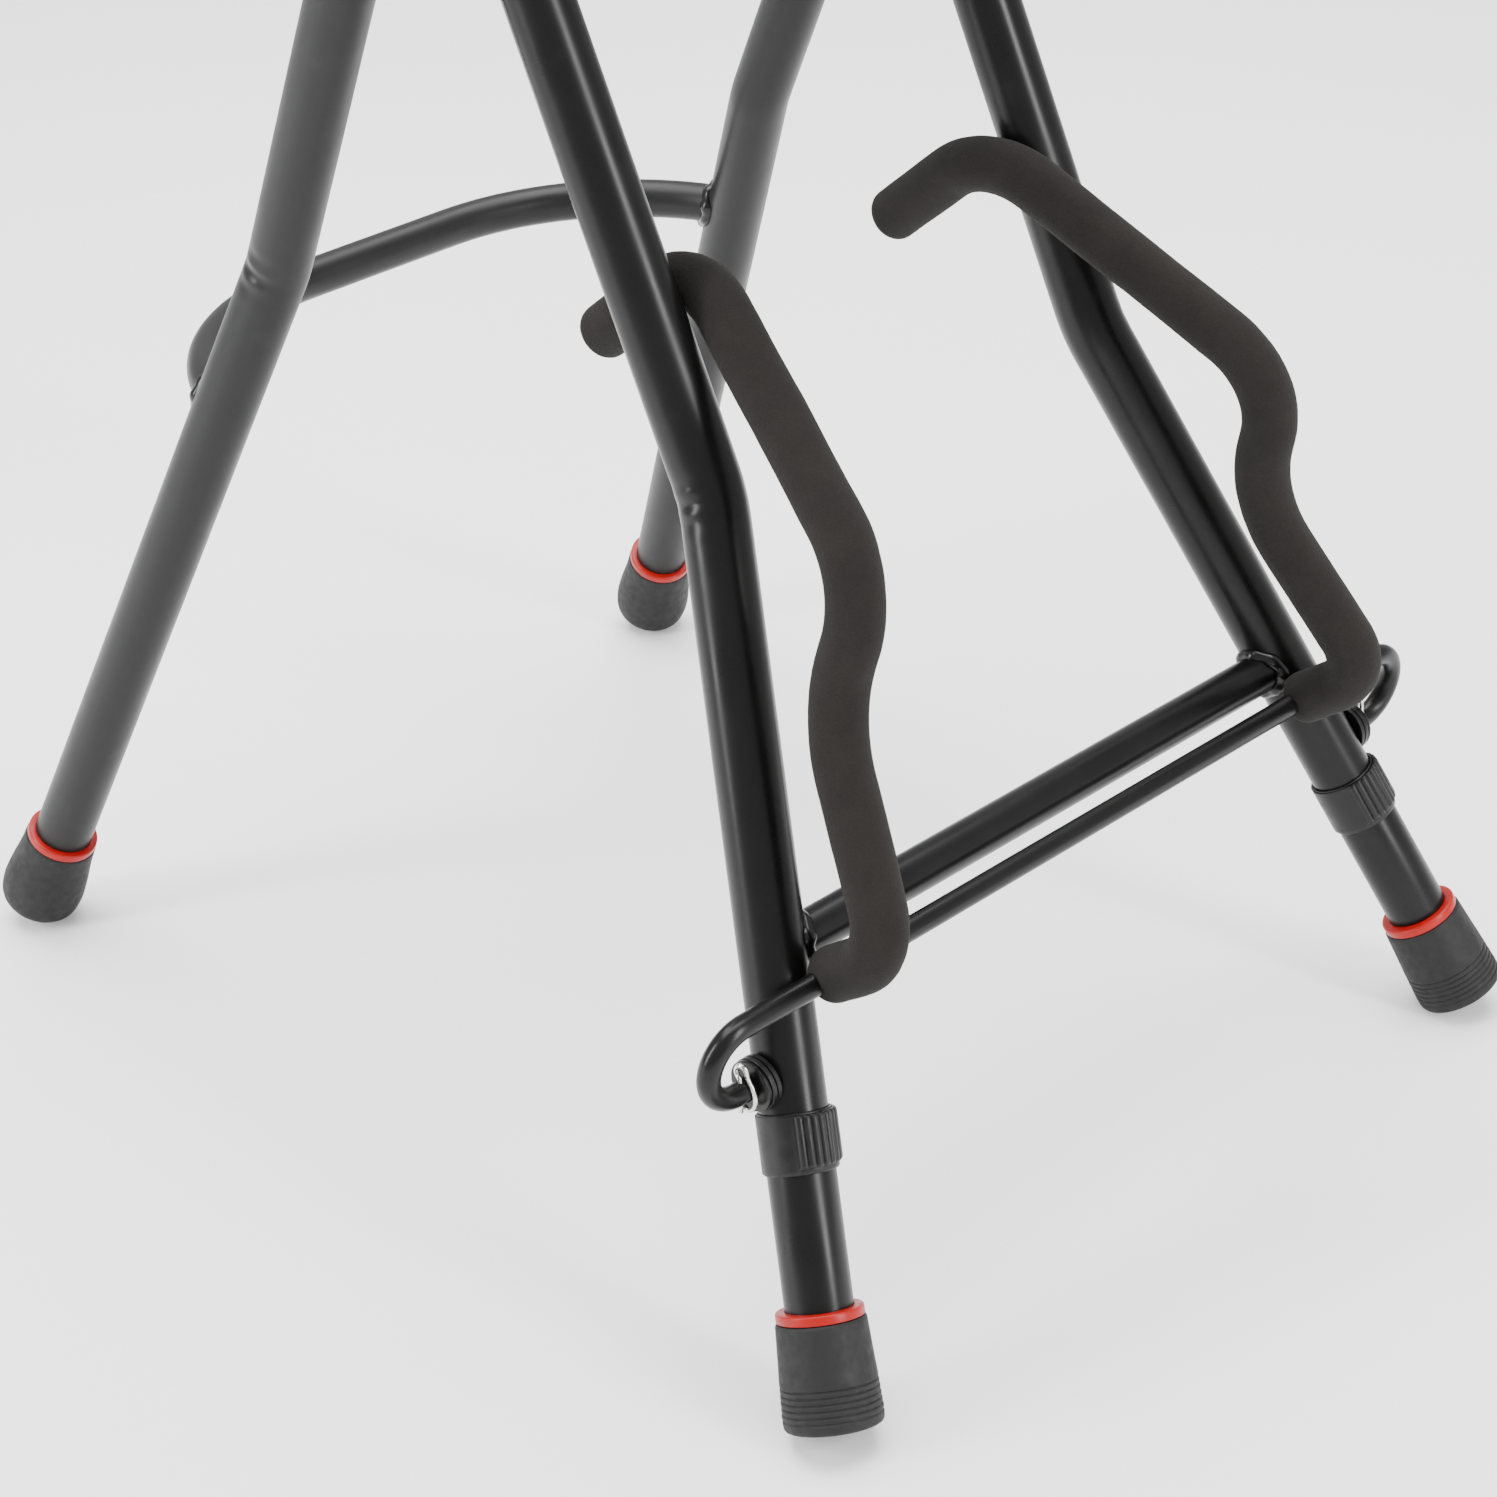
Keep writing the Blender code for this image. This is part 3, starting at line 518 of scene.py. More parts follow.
def wrinkles(path, legs):
    """Crush ripples on the inner side of the two lower bends."""
    bends = [legs[name].at(legs[name].bend_z) for name, _ in SIDES]

    def shape(i, direction):
        scale = 1.0
        for bend, (_, side) in zip(bends, SIDES):
            offset = path[i] - bend
            if offset.length > 3.5 * WRINKLE_REACH:
                continue
            along = math.copysign(offset.length, offset.z)
            facing = max(0.0, direction.x * side)
            ripple = math.cos(2.0 * math.pi * along / WRINKLE_PITCH)
            fade = math.exp(-((along / WRINKLE_REACH) ** 2))
            scale -= WRINKLE_DEPTH * facing ** 5 * (0.35 + 0.65 * ripple) * fade
        return scale

    return shape


def dense_bends(path, legs):
    """Closer points around the lower bends, so that the ripples are drawn."""
    bends = [legs[name].at(legs[name].bend_z) for name, _ in SIDES]
    result = [path[0]]
    for first, second in zip(path, path[1:]):
        near = min(((first + second) / 2.0 - bend).length for bend in bends)
        spacing = BEND_STEP if near < BEND_REACH else LEG_STEP
        result += refine([first, second], spacing)[1:]
    return result


def build_frame(body, legs, ends, material):
    path = dense_bends(frame_path(legs, ends), legs)
    mesh = pipe(path, LEG_RADIUS, LEG_BORE, LEG_SIDES, wrinkles(path, legs))
    finish_mesh(body + "_tube", mesh, material, body, [body])


def build_frames():
    ends = [leg.base + leg.up * TUBE_END_ABOVE_SOLE for leg in OUTER.values()]
    build_frame("footrest_frame", OUTER, ends, DARK_COAT)
    joint_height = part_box("collar_sleeve_left")[0][2] + TUBE_END_IN_SLEEVE
    ends = [leg.at(joint_height) for leg in INNER.values()]
    build_frame("cradle_frame", INNER, ends, BLACK_COAT)


CROSS_SIDES = 36
CROSSBAR_STEP = 20.0 * MM
CROSSBAR_INSET = 8.0 * MM
FOOTREST_STEP = 15.0 * MM
FOOTREST_INSET = 3.0 * MM
WELD_STEPS = 60
WELD_RIPPLES = 8
WELD_RADIUS = 3.5 * MM
WELD_SINK = 0.2 * MM


def saddle_point(point, direction, leg_point, leg_direction):
    """Where a line meets a leg's surface, on the side that the line runs out of."""
    across = direction - leg_direction * direction.dot(leg_direction)
    offset = point - leg_point
    offset -= leg_direction * offset.dot(leg_direction)
    a = across.dot(across)
    b = 2.0 * across.dot(offset)
    c = offset.dot(offset) - LEG_RADIUS ** 2
    root = math.sqrt(max(0.0, b * b - 4.0 * a * c))
    return point + direction * ((-b + root) / (2.0 * a))


def weld_bead(name, centre, direction, leg_direction, body):
    """A rippled fillet where a cross tube meets a leg. direction points away from the leg."""
    start = side_direction(direction)
    ring = circle(centre, direction, CROSS_RADIUS - WELD_SINK, WELD_STEPS, start)
    loop = [saddle_point(p, direction, centre, leg_direction) for p in ring]
    radii = []
    for i in range(WELD_STEPS):
        ripple = 0.12 * math.sin(2.0 * math.pi * i * WELD_RIPPLES / WELD_STEPS)
        wobble = 0.30 * noise.noise(loop[i] * 120.0)
        radii.append(WELD_RADIUS * (1.0 + ripple + wobble))
    finish_mesh(name, torus_loop(loop, radii, 12), WELD_COAT, body, ())


def build_crossbar():
    """Straight tube whose ends run into the cradle legs, with a weld at each end."""
    low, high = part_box("crossbar")
    height = (low[2] + high[2]) / 2.0
    left = INNER["left"].at(height)
    right = INNER["right"].at(height)
    inset = X_AXIS * CROSSBAR_INSET
    path = refine([left + inset, right - inset], CROSSBAR_STEP)
    mesh = skin(sweep(path, CROSS_RADIUS, CROSS_SIDES))
    finish_mesh("crossbar_tube", mesh, BLACK_COAT, "cradle_frame", ["crossbar"])
    for (name, side), centre in zip(SIDES, (left, right)):
        weld_bead("crossbar_weld_" + name, centre, X_AXIS * -side, INNER[name].up,
                  "cradle_frame")


def build_footrest():
    """Bent tube that runs out from both footrest legs and across in front of them."""
    low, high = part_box("footrest_bar")
    height = (low[2] + high[2]) / 2.0
    reach = high[1] - CROSS_RADIUS
    corners = []
    for name, side in SIDES:
        weld = OUTER[name].at(height)
        bend = Vector((weld.x - side * FOOTREST_CORNER_INSET, reach, height))
        towards = (bend - weld).normalized()
        begin = weld + towards * FOOTREST_INSET
        corners += [begin, bend] if side < 0 else [bend, begin]
        weld_bead("footrest_weld_" + name, weld, towards, OUTER[name].up,
                  "footrest_frame")
    path = refine(rounded_path(corners, (FOOTREST_BEND_RADIUS,) * 2), FOOTREST_STEP)
    mesh = skin(sweep(path, CROSS_RADIUS, CROSS_SIDES))
    finish_mesh("footrest_tube", mesh, DARK_COAT, "footrest_frame", ["footrest_bar"])


# --------------------------------------------------------------------------- fold bolts

BOLT_SIDES = 48
SOCKET_HALF_WIDTH = 2.6 * MM
SOCKET_DEPTH = 2.2 * MM
NUT_HALF_WIDTH = 6.5 * MM


def hexagon(half_width):
    """Radius of a hexagon, as a function of the angle about its axis."""
    return lambda turn: half_width / math.cos((turn % (math.pi / 3.0)) - math.pi / 6.0)


def distances_from_middle(node):
    """Least and greatest distance of a node from the middle plane."""
    low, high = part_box(node)
    return min(abs(low[0]), abs(high[0])), max(abs(low[0]), abs(high[0]))


def build_fold_bolts():
    """Dome-headed bolts with a hexagon socket, and their nuts."""
    base = Vector((0.0, FOLD.y, FOLD.z))
    face = OUTER_X + LEG_RADIUS + CLEARANCE
    socket = hexagon(SOCKET_HALF_WIDTH)
    flats = hexagon(NUT_HALF_WIDTH)
    for name, side in SIDES:
        axis = X_AXIS * side
        tail, outer = distances_from_middle("fold_bolt_" + name)
        points = [(3.6 * MM, tail), (4.0 * MM, tail + 0.8 * MM), (4.0 * MM, face), (8.0 * MM, face),
                  (8.0 * MM, face + 1.4 * MM), (5.4 * MM, outer - 0.3 * MM), (4.4 * MM, outer)]
        profile = round_profile(points, (0.0, 0.0, 0.2 * MM, 0.8 * MM, 1.4 * MM), 4)
        profile += [(socket, outer), (socket, outer - SOCKET_DEPTH)]
        mesh = lathe(base, axis, profile, BOLT_SIDES)
        finish_mesh("fold_bolt_dome_" + name, mesh, ZINC, "footrest_frame",
                    ["fold_bolt_" + name])
        near, far = distances_from_middle("fold_nut_" + name)
        profile = [(4.1 * MM, near), (6.2 * MM, near), (flats, near + 0.7 * MM),
                   (flats, far - 0.7 * MM), (6.2 * MM, far), (4.1 * MM, far)]
        mesh = lathe(base, axis, profile, BOLT_SIDES, closed=True)
        finish_mesh("fold_nut_hex_" + name, mesh, ZINC, "footrest_frame",
                    ["fold_nut_" + name])


# --------------------------------------------------------------------------- feet and collars

TURNED_SIDES = 72
POLE_RADIUS = 0.4 * MM
FOOT_FLOOR = 8.5 * MM
HEEL_RADIUS = 20.9 * MM
FOOT_RIBS = 6
FIRST_RIB = 4.6 * MM
RIB_TAPER = 0.05
GROOVE_DEPTH = 0.45 * MM


def ribbed_foot_profile():
    """Outside of a cone with shallow ribs round its lower half, from the sole up to the bore."""
    mouth = CRADLE_FOOT_LENGTH - RING_HEIGHT - CLEARANCE
    points = [(POLE_RADIUS, 0.0), (20.6 * MM, 0.0), (HEEL_RADIUS, 4.2 * MM)]
    rounding = [3.4 * MM, 0.3 * MM]
    for i in range(FOOT_RIBS):
        low = FIRST_RIB + i * 2.6 * MM
        radius = HEEL_RADIUS - RIB_TAPER * (low - FIRST_RIB)
        groove = radius - GROOVE_DEPTH
        points += [(groove, low + 0.15 * MM), (groove, low + 0.65 * MM)]
        points += [(radius, low + 0.85 * MM), (radius, low + 2.4 * MM)]
        rounding += [0.15 * MM, 0.15 * MM, 0.3 * MM, 0.3 * MM]
    points += [(19.7 * MM, 28.0 * MM), (18.9 * MM, mouth - 1.2 * MM), (18.3 * MM, mouth)]
    points += [(FOOT_BORE, mouth)]
    rounding += [2.0 * MM, 0.6 * MM, 0.4 * MM]
    return round_profile(points, rounding)


def smooth_foot_profile():
    """Outside of a bulb with a domed sole, from the sole up to the bore."""
    mouth = FOOTREST_FOOT_LENGTH - RING_HEIGHT - CLEARANCE
    points = [(POLE_RADIUS, 0.0), (13.5 * MM, 0.2 * MM), (19.4 * MM, 5.0 * MM),
              (20.8 * MM, 14.0 * MM), (20.0 * MM, 26.0 * MM), (18.4 * MM, 38.0 * MM),
              (17.9 * MM, mouth - 1.0 * MM), (17.4 * MM, mouth), (FOOT_BORE, mouth)]
    rounding = [5.0 * MM, 5.0 * MM, 6.0 * MM, 6.0 * MM, 5.0 * MM, 0.4 * MM, 0.3 * MM]
    return round_profile(points, rounding)


def ring_profile(length, radius):
    """Plastic ring that caps a foot, with a bevelled upper edge."""
    low = length - RING_HEIGHT
    points = [(FOOT_BORE, low), (radius, low), (radius, length - 0.2 * MM),
              (radius - 1.9 * MM, length), (FOOT_BORE, length)]
    return round_profile(points, (0.5 * MM, 1.6 * MM, 0.8 * MM))


def build_foot(kind, name, leg, body, outside, length, ring_radius):
    profile = outside + [(FOOT_BORE, FOOT_FLOOR), (POLE_RADIUS, FOOT_FLOOR)]
    mesh = lathe(leg.base, leg.up, profile, TURNED_SIDES)
    finish_mesh(f"rubber_foot_{kind}_{name}", mesh, RUBBER, body, [f"foot_{kind}_{name}"])
    profile = ring_profile(length, ring_radius)
    mesh = lathe(leg.base, leg.up, profile, TURNED_SIDES, closed=True)
    finish_mesh(f"red_ring_{kind}_{name}", mesh, RED, body, [f"foot_ring_{kind}_{name}"])


def build_feet():
    for name, _ in SIDES:
        build_foot("footrest", name, OUTER[name], "footrest_frame", smooth_foot_profile(),
                   FOOTREST_FOOT_LENGTH, 17.5 * MM)
        build_foot("cradle", name, INNER[name], "extension_" + name, ribbed_foot_profile(),
                   CRADLE_FOOT_LENGTH, 18.3 * MM)


SPIGOT_RADIUS = 12.4 * MM
SPIGOT_BORE = 10.6 * MM
SPIGOT_LENGTH = 25.0 * MM


def build_extensions():
    """Lower leg tubes with a rounded shoulder and the stub of the spigot that slides in the leg."""
    foot = 9.0 * MM
    for name, leg in INNER.items():
        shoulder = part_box("collar_sleeve_" + name)[0][2] + 1.0 * MM
        top = (shoulder - leg.base.z) / leg.up.z
        tip = top + SPIGOT_LENGTH
        points = [(SPIGOT_BORE, foot), (LEG_RADIUS, foot), (LEG_RADIUS, top),
                  (SPIGOT_RADIUS, top), (SPIGOT_RADIUS, tip), (SPIGOT_BORE, tip)]
        profile = round_profile(points, (0.3 * MM, 0.6 * MM, 0.2 * MM, 0.3 * MM), 3)
        mesh = lathe(leg.base, leg.up, profile, LEG_SIDES, closed=True)
        finish_mesh("lower_tube_" + name, mesh, BLACK_COAT, "extension_" + name,
                    ["leg_extension_" + name])


COLLAR_SIDES = 360
COLLAR_RADIUS = 15.9 * MM
COLLAR_EDGE = 16.9 * MM
GRIP_THICKNESS = 1.6 * MM
GRIP_STEEPNESS = 26.0
GRIP_DIRECTION = Vector((0.72, -0.69, 0.0))
RIB_COUNT = 30
RIB_SHARPNESS = 0.35
SLEEVE_SHARE = 0.62
SLEEVE_LIP = 0.8 * MM


def grip(lift):
    """Radius of the collar, as a function of the angle: raised and ribbed on one half."""

    def radius(turn):
        raised = 1.0 / (1.0 + math.exp(-math.cos(turn) * GRIP_STEEPNESS))
        rib = (0.5 + 0.5 * math.cos(RIB_COUNT * turn)) ** RIB_SHARPNESS
        return COLLAR_RADIUS + lift * raised * (0.50 + 0.50 * rib)

    return radius


def build_collars():
    """Twist collars: a plain ring whose one half carries a thicker ribbed grip."""
    bore = COLLAR_BORE
    thick = GRIP_THICKNESS
    for name, _ in SIDES:
        entry = joint("collar_twist_" + name)
        base = Vector(entry["pos_m"])
        up = Vector(entry["axis"]).normalized()
        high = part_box("lock_collar_" + name)[1]
        tilt = math.sqrt(1.0 - up.z ** 2)
        length = (high[2] - base.z - COLLAR_EDGE * tilt) / up.z
        ledge = SLEEVE_SHARE * length
        profile = [(bore, 0.0), (15.2 * MM, 0.0), (COLLAR_RADIUS, 0.7 * MM),
                   (COLLAR_RADIUS, 2.4 * MM), (grip(0.45 * thick), 2.6 * MM),
                   (grip(0.9 * thick), 3.3 * MM), (grip(thick), 4.4 * MM),
                   (grip(thick), 0.5 * length), (grip(thick), length - 1.6 * MM),
                   (grip(0.85 * thick), length - 0.5 * MM), (grip(0.5 * thick), length),
                   (15.75 * MM, length), (15.75 * MM, ledge), (bore, ledge)]
        mesh = lathe(base, up, profile, COLLAR_SIDES, closed=True, start=GRIP_DIRECTION)
        finish_mesh("ribbed_collar_" + name, mesh, BLACK_PLASTIC, "collar_" + name,
                    ["lock_collar_" + name], 50.0)

        low = ledge + CLEARANCE
        lip = length + SLEEVE_LIP
        points = [(bore, low), (15.4 * MM, low), (15.4 * MM, lip), (bore, lip)]
        profile = round_profile(points, (0.2 * MM, 0.5 * MM), 3)
        mesh = lathe(base, up, profile, TURNED_SIDES, closed=True)
        finish_mesh("inner_sleeve_" + name, mesh, BLACK_PLASTIC, "cradle_frame",
                    ["collar_sleeve_" + name])


# --------------------------------------------------------------------------- cradle


def rod_line():
    """The cross run of the cradle rod: its y and z at rest."""
    low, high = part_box("cradle_rod")
    return low[1] + ROD_RADIUS, high[2] - ROD_RADIUS


ROD_Y, ROD_Z = rod_line()
ROD_END = 186.0 * MM
ROD_STEP = 12.0 * MM
ROD_SIDES = 28
LOOP_STEPS = 32


def loop_points(side):
    """Half circle at one end of the rod, from the cross run round to the pivot axis."""
    middle = Vector((0.0, (ROD_Y + PIVOT.y) / 2.0, (ROD_Z + PIVOT.z) / 2.0))
    up = Vector((0.0, ROD_Y, ROD_Z)) - middle
    points = []
    for i in range(LOOP_STEPS + 1):
        turn = math.pi * i / LOOP_STEPS
        x = side * (LOOP_START + up.length * math.sin(turn))
        points.append(middle + up * math.cos(turn) + X_AXIS * x)
    return points


def build_cradle_rod():
    """Bar that crosses the legs on their outer side and loops back to end in both pivots."""
    end = X_AXIS * ROD_END
    path = [PIVOT - end] + loop_points(-1)[::-1] + loop_points(1) + [PIVOT + end]
    mesh = skin(sweep(refine(path, ROD_STEP), ROD_RADIUS, ROD_SIDES))
    finish_mesh("cradle_rod_bar", mesh, BLACK_COAT, "cradle", ["cradle_rod"])


FOAM_END_ROUNDING = 5.0 * MM
FOAM_GAP = 0.4 * MM
FOAM_STEP = 3.0 * MM
FOAM_SIDES = 48


def mirrored(point, side):
    """A point of the right-hand side, moved to the given side."""
    return Vector((side * point.x, point.y, point.z))


def rounded_ends(path, radius, rounding, steps=6):
    """Path points and radii with both ends rounded off."""
    begin = (path[0] - path[1]).normalized()
    finish = (path[-1] - path[-2]).normalized()
    turns = [0.5 * math.pi * i / steps for i in range(steps + 1)]
    shrink = [radius - rounding * (1.0 - math.cos(turn)) for turn in turns]
    reach = [rounding * math.sin(turn) for turn in turns]
    points = [path[0] + begin * r for r in reach[::-1]] + path[1:-1]
    points += [path[-1] + finish * r for r in reach]
    radii = shrink[::-1] + [radius] * (len(path) - 2) + shrink
    return points, radii


def keep_clear_of_leg(mesh, leg):
    """Foam that presses on a leg is dented to the leg's surface."""
    reach = LEG_RADIUS + FOAM_GAP
    # Two points well above the bend give the line of the upper run
    above = leg.at(leg.bend_z + 0.1)
    upper = (above, (leg.at(leg.bend_z + 0.2) - above).normalized())
    lower = (leg.base, leg.up)
    for vertex in mesh.vertices:
        point, direction = lower if vertex.co.z < leg.bend_z else upper
        offset = vertex.co - point
        radial = offset - direction * offset.dot(direction)
        if radial.length < reach:
            vertex.co += radial.normalized() * (reach - radial.length)


def lumps(path, drift):
    """Slightly uneven thickness along a foam sleeve."""

    def shape(i, direction):
        spot = path[i] * 26.0 + direction * 0.8 + drift
        return 1.0 + 0.030 * noise.noise(spot) + 0.010 * noise.noise(spot * 4.3)

    return shape


def build_arms():
    """Foam sleeves over both arms, with rounded ends a little past the rods."""
    rounding = FOAM_END_ROUNDING
    overhang = FOAM_OVERHANG - 0.5 * rounding
    for name, side in SIDES:
        corners = [mirrored(corner, side) for corner in ARM_CORNERS]
        outward = (corners[0] - corners[1]).normalized()
        corners[0] = corners[0] + outward * (overhang - rounding)
        corners[-1] = corners[-1] - (corners[-1] - corners[-2]).normalized() * rounding
        path = refine(rounded_path(corners, ARM_BEND_RADII, math.radians(4.0)), FOAM_STEP)
        path, radii = rounded_ends(path, FOAM_RADIUS, rounding)
        drift = Vector((17.0 * side, 3.0, 5.0))
        mesh = skin(sweep(path, radii, FOAM_SIDES, lumps(path, drift)))
        keep_clear_of_leg(mesh, INNER[name])
        foam = finish_mesh("foam_arm_" + name, mesh, FOAM, "cradle", ["foam_sleeve_" + name])


WASHER_BORE = 5.2 * MM
WASHER_SIDES = 64
SPACER_RADIUS = 11.5 * MM
SPACER_GAP = 0.1 * MM
PLATE_RADIUS = 11.2 * MM

# Split pin: the bent line of its wire, as millimetres along Y and Z from the rod's centre
PIN_WIRE = 1.05 * MM
PIN_LINE = ((0.3, -9.8), (0.1, -6.0), (0.0, 0.0), (0.2, 6.2), (2.0, 8.0), (2.6, 10.2), (0.9, 12.3),
            (-1.4, 11.8), (-2.3, 9.4), (-2.7, 6.6), (-5.2, 2.6), (-6.5, -2.2), (-5.3, -6.4),
            (-2.4, -8.4), (0.4, -7.6))


def washer(name, node, radius, material, body, groove=False):
    """Round disc on the pivot axis, between the ends of the node that it stands for."""
    low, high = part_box(node)
    length = high[0] - low[0]
    points = [(WASHER_BORE, 0.0), (radius, 0.0), (radius, length), (WASHER_BORE, length)]
    profile = round_profile(points, (0.5 * MM, 0.5 * MM))
    if groove:
        middle = len(profile) // 2
        cut = [(radius, 0.42 * length), (radius - 0.8 * MM, 0.46 * length),
               (radius - 0.8 * MM, 0.54 * length), (radius, 0.58 * length)]
        profile = profile[:middle] + cut + profile[middle:]
    base = Vector((low[0], PIVOT.y, PIVOT.z))
    mesh = lathe(base, X_AXIS, profile, WASHER_SIDES, closed=True)
    return finish_mesh(name, mesh, material, body, [node])


def saddle_to_leg(mesh, leg, side):
    """Move the inner face of a spacer outwards until it lies on the round of the leg."""
    reach = LEG_RADIUS + SPACER_GAP
    for vertex in mesh.vertices:
        offset = vertex.co - leg.base
        radial = offset - leg.up * offset.dot(leg.up)
        if radial.length < reach:
            vertex.co.x += side * (reach - radial.length) * 1.05


def build_pivots():
    for name, side in SIDES:
        spacer = washer("pivot_bush_" + name, "pivot_spacer_" + name, SPACER_RADIUS,
                        BLACK_PLASTIC, "cradle_frame", groove=True)
        saddle_to_leg(spacer.data, INNER[name], side)
        washer("pivot_plate_" + name, "pivot_washer_" + name, PLATE_RADIUS,
               BLACK_COAT, "cradle")
        low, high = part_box("split_pin_" + name)
        build_split_pin(name, side, Vector(((low[0] + high[0]) / 2.0, PIVOT.y, PIVOT.z)))


def smooth_line(points, steps):
    """Even curve through the points."""
    line = []
    for i in range(len(points) - 1):
        p0 = points[max(i - 1, 0)]
        p1 = points[i]
        p2 = points[i + 1]
        p3 = points[min(i + 2, len(points) - 1)]
        for j in range(steps):
            t = j / steps
            bend = (p0 * 2.0 - p1 * 5.0 + p2 * 4.0 - p3) * (t * t)
            twist = (p1 * 3.0 - p0 - p2 * 3.0 + p3) * (t ** 3)
            line.append((p1 * 2.0 + (p2 - p0) * t + bend + twist) * 0.5)
    return line + [points[-1]]


def build_split_pin(name, side, centre):
    """One leg through the rod, the eye above, the other leg bent round the front of the rod."""
    points = []
    for i, (y, z) in enumerate(PIN_LINE):
        shift = 1.9 * MM * max(0.0, min(1.0, (i - 3) / 6.0)) - 0.5 * MM
        points.append(centre + Vector((-side * shift, y * MM, z * MM)))
    mesh = skin(sweep(smooth_line(points, 7), PIN_WIRE, 14))
    finish_mesh("split_pin_clip_" + name, mesh, ZINC, "cradle", ["split_pin_" + name])


# --------------------------------------------------------------------------- seat

CUSHION_CORNER = 50.0 * MM
CORNER_STEPS = 10
PIPING_RADIUS = 2.4 * MM
PIPING_INSET = 2.6 * MM
SEAM_INSET = 3.5 * MM
SEAM_DROP = 13.0 * MM
CROWN = 4.0 * MM
CUSHION_CAP = 9.0 * MM
VOXEL = 6.0 * MM
BASE_HOLD = 6.0 * MM
RIM_HOLD = 3.0 * MM
SEAM_HOLD = 3.5 * MM
CLOTH_PRESSURE = 4.0
CLOTH_FRAMES = 20


def rounded_rectangle(low, high, inset, height):
    """The cushion's outline, seen from above, at a height and moved inwards by the inset."""
    radius = CUSHION_CORNER
    points = []
    centre = ((low[0] + high[0]) / 2.0, (low[1] + high[1]) / 2.0)
    half_x = (high[0] - low[0]) / 2.0 - inset
    half_y = (high[1] - low[1]) / 2.0 - inset
    for corner, (sx, sy) in enumerate(((1, 1), (-1, 1), (-1, -1), (1, -1))):
        for i in range(CORNER_STEPS + 1):
            turn = math.radians(90.0 * (corner + i / CORNER_STEPS))
            x = centre[0] + sx * (half_x - radius) + radius * math.cos(turn)
            y = centre[1] + sy * (half_y - radius) + radius * math.sin(turn)
            points.append(Vector((x, y, height)))
    return points


def seam_height(high):
    """Height of the upper seam, where the top panel is sewn to the side panel."""
    return high[2] - SEAM_DROP


def cushion_start(low, high):
    """The slab that the stuffed cushion swells from."""
    seam = seam_height(high)
    rings = []
    for height, inset in ((low[2], 5.0 * MM), (low[2] + 3.0 * MM, SEAM_INSET), (seam, SEAM_INSET),
                          (seam + 3.0 * MM, 9.0 * MM), (seam + 6.0 * MM, 26.0 * MM)):
        rings.append(rounded_rectangle(low, high, inset, height))
    return skin(rings)


def edge_distance(point, low, high):
    """How far a point lies inside the cushion's rounded outline, seen from above."""
    corner = CUSHION_CORNER
    x = abs(point.x - (low[0] + high[0]) / 2.0) - ((high[0] - low[0]) / 2.0 - corner)
    y = abs(point.y - (low[1] + high[1]) / 2.0) - ((high[1] - low[1]) / 2.0 - corner)
    if x > 0.0 and y > 0.0:
        return corner - math.hypot(x, y)
    return corner - max(x, y)


def simulate(item, low, high):
    """Stuff the cushion with air pressure, then cap how far any point may move.

    The base and the upper seam are pinned, because board and piping hold them.
    """
    remesh = item.modifiers.new("remesh", "REMESH")
    remesh.mode = "VOXEL"
    remesh.voxel_size = VOXEL
    bpy.context.view_layer.update()
    graph = bpy.context.evaluated_depsgraph_get()
    start = bpy.data.meshes.new_from_object(item.evaluated_get(graph))
    item.modifiers.remove(remesh)
    item.data = start
    before = [vertex.co.copy() for vertex in start.vertices]
    pinned = item.vertex_groups.new(name="pinned")
    seam = seam_height(high)
    for vertex in start.vertices:
        on_base = vertex.co.z < low[2] + BASE_HOLD
        on_rim = edge_distance(vertex.co, low, high) < SEAM_INSET + RIM_HOLD
        on_seam = abs(vertex.co.z - seam) < SEAM_HOLD and on_rim
        if on_base or on_seam:
            pinned.add([vertex.index], 1.0, "REPLACE")
    cloth = item.modifiers.new("cloth", "CLOTH")
    cloth.settings.use_pressure = True
    cloth.settings.uniform_pressure_force = CLOTH_PRESSURE
    cloth.settings.vertex_group_mass = "pinned"
    cloth.settings.effector_weights.gravity = 0.0
    cloth.point_cache.frame_start = 1
    cloth.point_cache.frame_end = CLOTH_FRAMES
    for step in range(1, CLOTH_FRAMES + 1):
        bpy.context.scene.frame_set(step)
    graph = bpy.context.evaluated_depsgraph_get()
    swollen = bpy.data.meshes.new_from_object(item.evaluated_get(graph))
    item.modifiers.remove(cloth)
    item.vertex_groups.remove(pinned)
    for vertex, rest in zip(swollen.vertices, before):
        move = vertex.co - rest
        if move.length > CUSHION_CAP:
            move = move.normalized() * CUSHION_CAP
        vertex.co = rest + move
    item.data = swollen
    bpy.context.scene.frame_set(1)


def build_cushion():
    """Vinyl pad: simulated, smoothed, then crowned."""
    low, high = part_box("seat_cushion")
    mesh = cushion_start(low, high)
    item = bpy.data.objects.new("seat_pad", mesh)
    bpy.context.scene.collection.objects.link(item)
    simulate(item, low, high)
    smooth = item.modifiers.new("smooth", "SMOOTH")
    smooth.factor = 0.5
    smooth.iterations = 6
    fine = item.modifiers.new("fine", "SUBSURF")
    fine.levels = 1
    fine.render_levels = 1
    bpy.context.view_layer.update()
    graph = bpy.context.evaluated_depsgraph_get()
    final = bpy.data.meshes.new_from_object(item.evaluated_get(graph))
    item.modifiers.clear()
    crown(final, low, high)
    item.data = final
    final.materials.clear()
    final.materials.append(VINYL)
    final.shade_smooth()
    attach(item, "seat")
    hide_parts("seat_cushion")


def crown(mesh, low, high):
    """A gentle dome on the top, highest in the middle."""
    half_x = (high[0] - low[0]) / 2.0
    half_y = (high[1] - low[1]) / 2.0
    for vertex in mesh.vertices:
        x = vertex.co.x / half_x
        y = (vertex.co.y - (low[1] + high[1]) / 2.0) / half_y
        share = max(0.0, 1.0 - max(x * x, y * y))
        if vertex.co.z > seam_height(high) + 3.0 * MM:
            vertex.co.z += CROWN * share
        vertex.co.z = min(vertex.co.z, high[2] + CROWN)


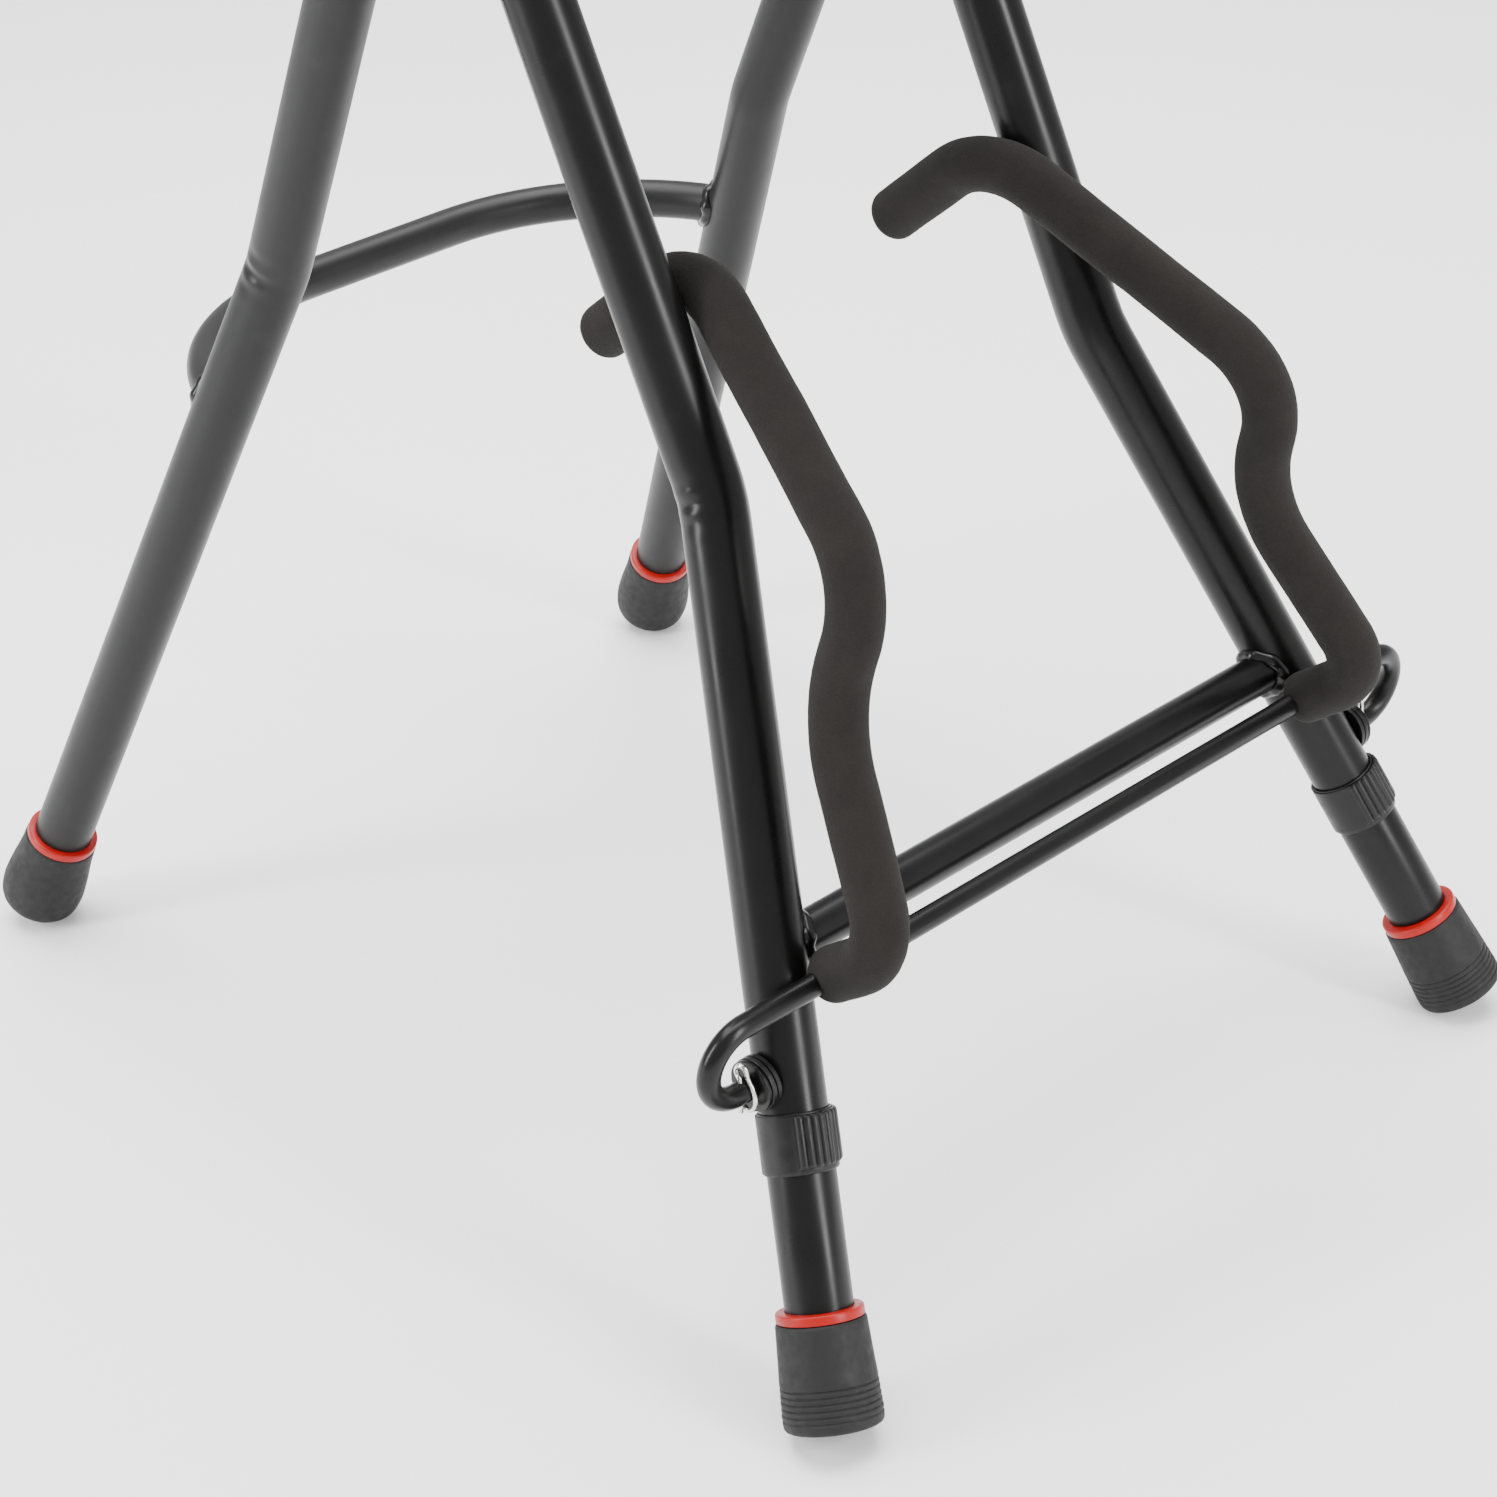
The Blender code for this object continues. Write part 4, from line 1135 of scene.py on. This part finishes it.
def piping(name, low, high, height):
    """A welt cord around the cushion, on a slightly uneven line."""
    loop = rounded_rectangle(low, high, PIPING_INSET, height)
    fine = []
    for first, second in zip(loop, loop[1:] + loop[:1]):
        if (second - first).length < 0.2 * MM:
            continue
        fine += refine([first, second], 5.0 * MM)[:-1]
    wobble = [p + UP * (0.5 * MM * noise.noise(p * 18.0)) for p in fine]
    mesh = torus_loop(wobble, [PIPING_RADIUS] * len(wobble), 14)
    finish_mesh(name, mesh, VINYL, "seat", ())


def build_seat():
    build_cushion()
    low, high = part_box("seat_cushion")
    piping("seat_piping_top", low, high, seam_height(high))
    piping("seat_piping_bottom", low, high, low[2] + 2.8 * MM)


# --------------------------------------------------------------------------- carried-over solids


def dress(node, material):
    """Give a carried-over solid its finished material."""
    mesh = frame["nodes"][node].data
    mesh.materials.clear()
    mesh.materials.append(material)


def dress_solids():
    dress("seat_board", BOARD)
    for name, _ in SIDES:
        dress("hinge_strap_" + name, BLACK_COAT)
        dress("seat_catch_" + name, BLACK_COAT)
        dress("fold_washer_" + name, BLACK_PLASTIC)
        dress("arm_rod_" + name, BLACK_COAT)
        for screw in ("strap_screw_front_", "strap_screw_back_", "catch_screw_"):
            dress(screw + name, ZINC)


# --------------------------------------------------------------------------- studio


def area_light(name, place, target, size, power):
    """Rectangular soft light that faces its target."""
    data = bpy.data.lights.new(name, "AREA")
    data.shape = "RECTANGLE"
    data.size = size[0]
    data.size_y = size[1]
    data.energy = power
    item = bpy.data.objects.new(name, data)
    item.location = place
    item.rotation_euler = (Vector(target) - Vector(place)).to_track_quat("-Z", "Y").to_euler()
    bpy.context.scene.collection.objects.link(item)


def build_studio():
    """Pale floor, even white surroundings and three soft lights."""
    work = bmesh.new()
    bmesh.ops.create_grid(work, x_segments=2, y_segments=2, size=6.0)
    mesh = bpy.data.meshes.new("studio_floor")
    work.to_mesh(mesh)
    work.free()
    mesh.materials.append(floor_material())
    floor = bpy.data.objects.new("studio_floor", mesh)
    bpy.context.scene.collection.objects.link(floor)
    world = bpy.data.worlds.new("studio")
    world.use_nodes = True
    background = world.node_tree.nodes["Background"]
    background.inputs["Color"].default_value = (1.0, 1.0, 1.0, 1.0)
    background.inputs["Strength"].default_value = 0.95
    bpy.context.scene.world = world
    area_light("top_box", (0.2, 0.4, 2.6), (0.0, 0.0, 0.0), (2.6, 2.6), 190.0)
    area_light("left_strip", (-2.3, 0.9, 1.3), (0.0, 0.0, 0.4), (0.45, 1.9), 75.0)
    area_light("front_strip", (0.35, -2.6, 1.3), (0.0, 0.0, 0.4), (0.45, 1.9), 80.0)


def build_camera():
    data = bpy.data.cameras.new("camera")
    data.lens = CAMERA_LENS
    data.sensor_width = 36.0
    data.shift_x = CAMERA_SHIFT[0]
    data.shift_y = CAMERA_SHIFT[1]
    item = bpy.data.objects.new("camera", data)
    item.location = CAMERA_PLACE
    item.rotation_euler = [math.radians(angle) for angle in CAMERA_TURN]
    bpy.context.scene.collection.objects.link(item)
    bpy.context.scene.camera = item


build_camera()
build_studio()
build_frames()
build_crossbar()
build_footrest()
build_fold_bolts()
build_feet()
build_extensions()
build_collars()
build_cradle_rod()
build_arms()
build_pivots()
build_seat()
dress_solids()
